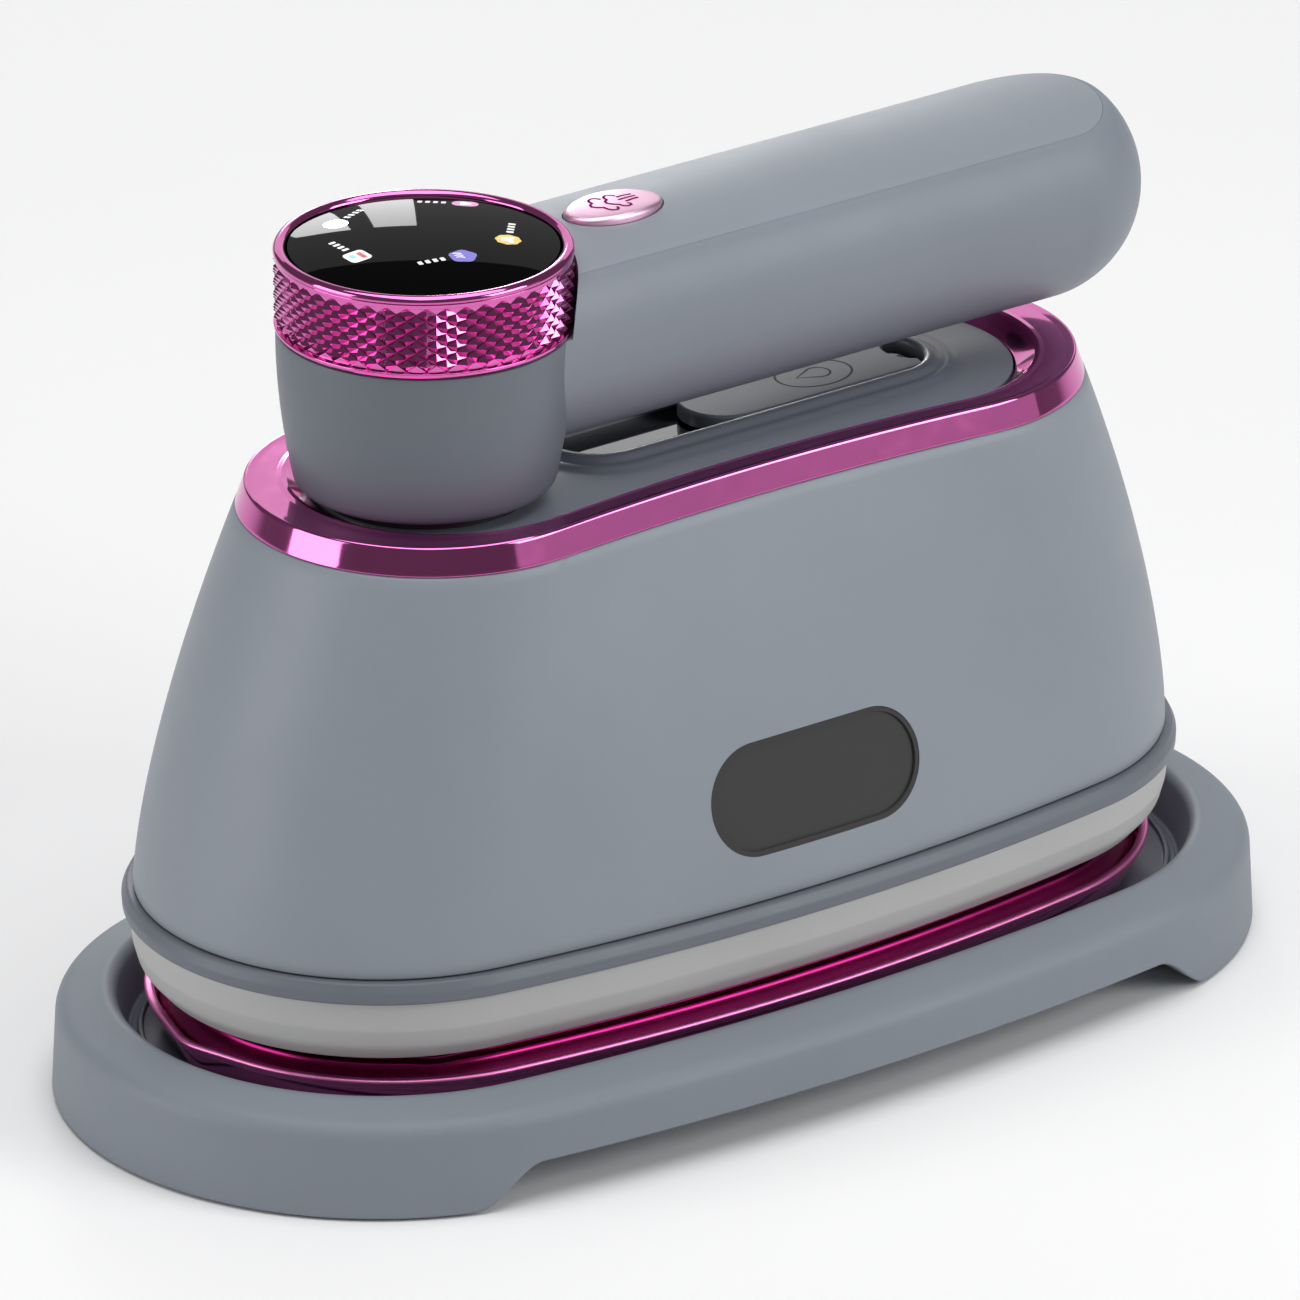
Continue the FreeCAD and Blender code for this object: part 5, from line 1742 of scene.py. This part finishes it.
    def upper(self) -> bpy.types.Object:
        """Top cover with its softened edge."""
        off = -self.seam / 2.0
        shares = [float(s) for s in np.linspace(0.0, 0.9, 16)] + [0.925, 0.95, 0.965, 0.98, 0.99, 1.0]
        rings = []
        for x in self.stations(off):
            last = self.split_angle(x, off)
            side = [(x, *self.pinched(x, last * s, last)) for s in shares]
            side.append((x, side[-1][1], side[-1][2] - 1.0))
            right = side[::-1]
            rings.append(np.array(right + [(px, -py, pz) for px, py, pz in side[1:]]))
        return self.tube(rings, "grip_top")

    def turret_body(self) -> bpy.types.Object:
        """Turret under the dial: softened foot, flaring wall and rim."""
        z0, z1 = self.turret_z
        r0, rm, r1 = self.turret
        profile: List[Point2] = [(self.bore_r, z0), (r0 - 0.9, z0), (r0 - 0.35, z0 + 0.12),
                                 (r0 - 0.08, z0 + 0.45)]
        for z in np.linspace(z0 + 0.8, z1 - 0.35, 22):
            t, m = (z - z0) / (z1 - z0), self.waist_at
            r = r0 * (t - m) * (t - 1.0) / m + rm * t * (t - 1.0) / (m * (m - 1.0))
            profile.append((r + r1 * t * (t - m) / (1.0 - m), z))
        profile += [(r1 - 0.06, z1 - 0.1), (r1 - 0.25, z1), (self.seat_r, z1), (self.seat_r, z1 - 2.0),
                    (self.barrel_r, z1 - 2.0), (self.barrel_r, z0 + 2.0), (self.bore_r, z0 + 2.0)]
        build = bmesh.new()
        add_turned(build, profile, self.cx, loop=True, count=160)
        return finish_mesh("grip_turret", build, sharp=45.0)

    def inlet_cutter(self) -> bpy.types.Object:
        """Bore for the cord gland in the domed end."""
        low, high = span("cord_gland")
        flat = circle(self.gland_r, 0.0, 0.0, count=48)
        rings = [np.column_stack((np.full(48, x), flat[:, 0], self.cz + flat[:, 1]))
                 for x in (low[0] - 1.5, high[0] + 6.0)]
        return ring_piece("inlet_cutter", rings)

    def build(self) -> None:
        """Builds and dresses the grip."""
        x, a, b = self.button
        gap = self.button_gap

        def slot(z: float) -> bpy.types.Object:
            """Cutter for the dial's seat, from z up."""
            rings = [circle(self.slot_r, h, self.cx, 192) for h in (z, self.clear_z)]
            return ring_piece("seat_cutter", rings)

        def well(z: float, out: float) -> bpy.types.Object:
            """Cutter for the button, from z up and `out` wider than it."""
            rings = [ellipse(a + out, b + out, h, x) for h in (z, self.clear_z)]
            return ring_piece("well_cutter", rings)

        cutters = [slot(self.turret_z[1] - 0.02), well(128.3, gap + 1.2), self.inlet_cutter()]
        cutters += [ring_piece("screw_cutter", [circle(3.0, z, sx, 40) for z in (100.0, 108.0)])
                    for sx in self.screw_x]
        lower = cut_with(self.lower(), cutters, sharp=45.0)
        lower_faces = len(lower.data.polygons)
        body = merge("grip_body", [lower, self.turret_body()], sharp=45.0)
        # Grip sides and underside in the slightly darker copy of the shell plastic, and the turret in the darkened
        # one: painted shade.
        dress(body, Finish.SHADED_GRIP, Finish.SHADED_SLATE)
        for face in body.data.polygons[lower_faces:]:
            face.material_index = 1
        install(body, "grip", "shell_grey", "grip_shell")
        top = cut_with(self.upper(), [slot(120.0), well(128.0, gap)], sharp=45.0)
        top.name = "grip_top_cover"
        install(dress(top, Finish.SHELL), "grip", "shell_grey", "grip_cover")
        SteamButton(x, a, b).build()


@dataclass
class SteamButton:
    """Plated steam button with its engraved cloud sign."""

    cx: float
    half_len: float
    half_wid: float
    dome_r: float = 60.0
    stem_r: float = 2.2
    flange_z: Point2 = (133.7, 134.6)
    line: float = 0.48
    puffs: Tuple[Tuple[Point2, ...], ...] = (
        ((-1.03, 1.81), (-1.47, 2.71), (-2.15, 3.0), (-2.83, 2.72), (-3.11, 1.9), (-3.06, 1.35),
         (-3.68, 1.05), (-4.0, 0.3), (-3.45, -0.6), (-2.7, -1.18), (-2.55, -2.15), (-2.13, -2.82),
         (-1.46, -3.05), (-0.88, -2.76), (-0.91, -2.13)),
        ((1.67, 1.69), (1.23, 2.41), (0.51, 2.72), (-0.18, 2.34), (-0.42, 1.56), (-0.4, 1.04),
         (-1.12, 0.62), (-1.28, -0.15), (-0.77, -1.01), (-0.05, -1.66), (0.26, -2.5), (0.88, -2.88), (1.58, -2.72),
         (1.75, -2.21), (1.44, -1.79)))
    jets: Tuple[Tuple[Point2, ...], ...] = (((1.44, 1.1), (2.9, 1.2), (4.38, 1.19)),
                                            ((1.01, -0.04), (2.75, 0.15), (4.51, 0.25)),
                                            ((1.63, -1.16), (3.05, -0.85), (4.49, -0.62)))

    def top(self, x: float, y: float) -> float:
        """Height of the button's dome over (x, y)."""
        high = span("steam_button")[1][2]
        return high - self.dome_r + math.sqrt(self.dome_r ** 2 - (x - self.cx) ** 2 - y ** 2)

    def cap(self) -> bpy.types.Object:
        """Button cap, flange and stem."""
        foot = span("steam_button")[0][2]
        z0, z1 = self.flange_z
        rings = []
        for out, z in ((0.0, z0), (1.0, z0), (1.0, z1), (0.0, z1)):
            rings.append(ellipse(self.half_len + out - 0.01, self.half_wid + out - 0.01, z, self.cx))
        edge = 0.75
        for k in range(0, 8):
            a = math.radians(90.0 * k / 7)
            by = edge * (1.0 - math.cos(a))
            ring = ellipse(self.half_len - by, self.half_wid - by, 0.0, self.cx)
            for point in ring:
                point[2] = self.top(point[0], point[1]) - edge * (1.0 - math.sin(a))
            rings.append(ring)
        for share in (0.85, 0.7, 0.5, 0.3, 0.12):
            ring = ellipse((self.half_len - edge) * share, (self.half_wid - edge) * share, 0.0, self.cx)
            ring[:, 2] = [self.top(px, py) for px, py in ring[:, :2]]
            rings.append(ring)
        build = bmesh.new()
        add_rings(build, rings)
        add_turned(build, [(self.stem_r, foot), (self.stem_r, z0 + 0.1)], self.cx, count=40)
        return finish_mesh("button_cap", build, sharp=50.0)

    def sign(self) -> bpy.types.Object:
        """Two puffs of steam and three slanting jets, as fine lines."""
        build = bmesh.new()

        def lift(x: float, y: float) -> float:
            """Height of a line over the dome."""
            return self.top(x, y) + 0.02

        for line in self.puffs + self.jets:
            add_ribbon(build, [(self.cx + u, v) for u, v in line], self.line, lift)
        return finish_mesh("button_sign", build)

    def build(self) -> None:
        """Builds and dresses the button."""
        piece = merge("steam_button_cap", [self.cap(), self.sign()], sharp=50.0)
        # The whole cap takes the pale plating: painted reflection of the light above.
        dress(piece, Finish.FACE, Finish.ENGRAVED)
        paint_faces(piece, 1, lambda c: c.z > self.top(c.x, c.y) + 0.008)
        install(piece, "button", "magenta_metal", "steam_button")


ASSEMBLIES = (StandTray, Sole, Housing, TopDeck, Dial, Grip)


# ---------------------------------------------------------------- carried-over pieces

@dataclass
class Works:
    """Pieces that keep the CAD mesh and only need their finish."""

    finishes: Tuple[Tuple[Finish, Tuple[str, ...]], ...] = (
        (Finish.SHELL, ("body_shell", "skirt_ring", "grip_shell", "grip_cover")),
        (Finish.TRAY, ("tray_base",)),
        (Finish.POCKET, ("tray_mat",)),
        (Finish.BAND, ("base_frame",)),
        (Finish.DECK, ("deck_panel", "tank_cover")),
        (Finish.MAGENTA, ("trim_ring", "sole_plate", "sole_collar", "dial_ring")),
        # The button's pale plating is a painted reflection of the light above.
        (Finish.FACE, ("steam_button",)),
        (Finish.RUBBER, ("tray_foot_pads", "window_gasket", "filler_seal", "cord_gland")),
        (Finish.CASTING, ("heater_block", "chamber_lid")),
        (Finish.STEEL, ("heater_rod", "thermostat", "swivel_clip", "button_spring")),
        (Finish.ZINC, ("heater_screws", "frame_screws", "grip_screws")),
        (Finish.PANE, ("window_pane",)),
        (Finish.TANK, ("water_tank",)),
        (Finish.SILICONE, ("suction_hose", "steam_hose")),
        (Finish.WHITE, ("thermal_fuse",)),
        (Finish.BLACK, ("pump", "swivel_socket", "swivel_washer", "swivel_spindle", "button_guide",
                        "steam_switch", "dial_hub")),
        (Finish.BOARD, ("control_board", "grip_board", "display_board", "dial_sensor")),
        (Finish.LENS, ("display_glass",)),
    )

    def build(self) -> None:
        """Assigns each node's finish to its material slots."""
        for finish, nodes in self.finishes:
            for node in nodes:
                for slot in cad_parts[node].material_slots:
                    slot.material = finish.material()
            LOG.info("%s on %s", finish.value.name, ", ".join(nodes))


# ---------------------------------------------------------------- studio

@dataclass
class Studio:
    """Pale floor, soft lights and the camera."""

    azimuth: float = -36.99
    elevation: float = 23.12
    distance: float = 2.3307
    target: Tuple[float, float, float] = (-0.00203, 0.0, 0.06069)
    lens: float = 406.0
    floor_half: float = 4.0
    levels: Tuple[Point2, ...] = ((0.0, 0.2), (0.46, 0.2), (0.5, 0.17), (0.6, 0.13), (1.0, 0.13))

    def build(self) -> None:
        """Sets up the floor, the lights, the surroundings and the camera."""
        self.floor()
        self.surroundings()
        self.lights()
        self.camera()

    def floor(self) -> None:
        """A wide pale floor under the tray."""
        build = bmesh.new()
        reach = self.floor_half / MM
        corners = ((-reach, -reach), (reach, -reach), (reach, reach), (-reach, reach))
        add_patch(build, corners, lambda x, y: CAD_BOX[0][2] / MM)
        piece = finish_mesh("studio_floor", build)
        g = Graph("pale_floor")
        g.tint(g.noise(0.5, 2.0), [(0.3, (243, 243, 244)), (0.7, (246, 246, 246))])
        g.roughen(g.noise(0.05, 3.0), 0.75, 0.9)
        g.put("Specular IOR Level", 0.1)
        piece.data.materials.append(g.material)

    def surroundings(self) -> None:
        """Dim room, a little lighter below the horizon than above it."""
        world = bpy.data.worlds.new("studio")
        bpy.context.scene.world = world
        world.use_nodes = True
        tree = world.node_tree
        tree.nodes.clear()
        out = tree.nodes.new("ShaderNodeOutputWorld")
        back = tree.nodes.new("ShaderNodeBackground")
        coords = tree.nodes.new("ShaderNodeTexCoord")
        split = tree.nodes.new("ShaderNodeSeparateXYZ")
        ramp = tree.nodes.new("ShaderNodeValToRGB")
        turn = tree.nodes.new("ShaderNodeMapRange")
        turn.inputs["From Min"].default_value = -1.0
        fill_ramp(ramp, [(place, (level, level, level, 1.0)) for place, level in self.levels])
        tree.links.new(coords.outputs["Generated"], split.inputs["Vector"])
        tree.links.new(split.outputs["Z"], turn.inputs["Value"])
        tree.links.new(turn.outputs["Result"], ramp.inputs["Fac"])
        tree.links.new(ramp.outputs["Color"], back.inputs["Color"])
        back.inputs["Strength"].default_value = 1.0
        tree.links.new(back.outputs["Background"], out.inputs["Surface"])

    def lights(self) -> None:
        """Soft boxes round the steamer, and narrow ones that show in the glass."""
        iron, glass = (0.0, 0.0, 0.06), (-0.05, 0.02, 0.14)
        self.soft_box("overhead", (0.0, -0.1, 1.6), (0.0, 0.0, 0.05), 1.6, 1.6, 21.0)
        self.soft_box("left_end", (-1.42, 0.45, 0.42), iron, 0.9, 0.9, 8.0)
        self.soft_box("front_right", (0.72, -1.25, 0.78), iron, 0.9, 0.7, 10.0)
        self.soft_box("front_low", (0.95, -1.35, 0.3), iron, 1.4, 0.5, 0.8)
        self.soft_box("back_wide", (1.25, 1.8, 0.85), (0.0, 0.0, 0.1), 2.6, 1.0, 6.5)
        self.soft_box("window_left", (0.68, 1.24, 0.42), glass, 0.075, 0.34, 1.2)
        self.soft_box("window_right", (0.77, 1.19, 0.42), glass, 0.06, 0.34, 0.8)

    def soft_box(self, name: str, place: Tuple[float, float, float],
                 aim: Tuple[float, float, float], wide: float, high: float, power: float) -> None:
        """Adds one area light.

        Args:
            name: name of the light.
            place: where it stands, in metres.
            aim: point that it faces.
            wide: its width.
            high: its height.
            power: its power in watts.
        """
        data = bpy.data.lights.new(name, "AREA")
        data.shape = "RECTANGLE"
        data.size, data.size_y, data.energy = wide, high, power
        lamp = stand(name, data)
        lamp.location = place
        lamp.rotation_euler = (Vector(aim) - Vector(place)).to_track_quat("-Z", "Y").to_euler()

    def camera(self) -> None:
        """Long-lens camera to the front left of the steamer, looking slightly down."""
        a, e = math.radians(self.azimuth), math.radians(self.elevation)
        back = Vector((math.sin(a) * math.cos(e), -math.cos(a) * math.cos(e), math.sin(e)))
        data = bpy.data.cameras.new("camera")
        data.lens, data.sensor_width = self.lens, 36.0
        data.clip_end = 50.0
        camera = stand("camera", data)
        camera.location = Vector(self.target) + back * self.distance
        camera.rotation_euler = (-back).to_track_quat("-Z", "Y").to_euler()
        bpy.context.scene.camera = camera
        bpy.context.scene.view_settings.view_transform = "Standard"


def main() -> None:
    """Builds the sub-assemblies in order, then the studio."""
    logging.basicConfig(level=logging.INFO, format="%(name)s: %(message)s")
    Works().build()
    for group in ASSEMBLIES:
        LOG.info("building %s", group.__name__)
        group().build()
    Studio().build()


if __name__ == "__main__":
    main()
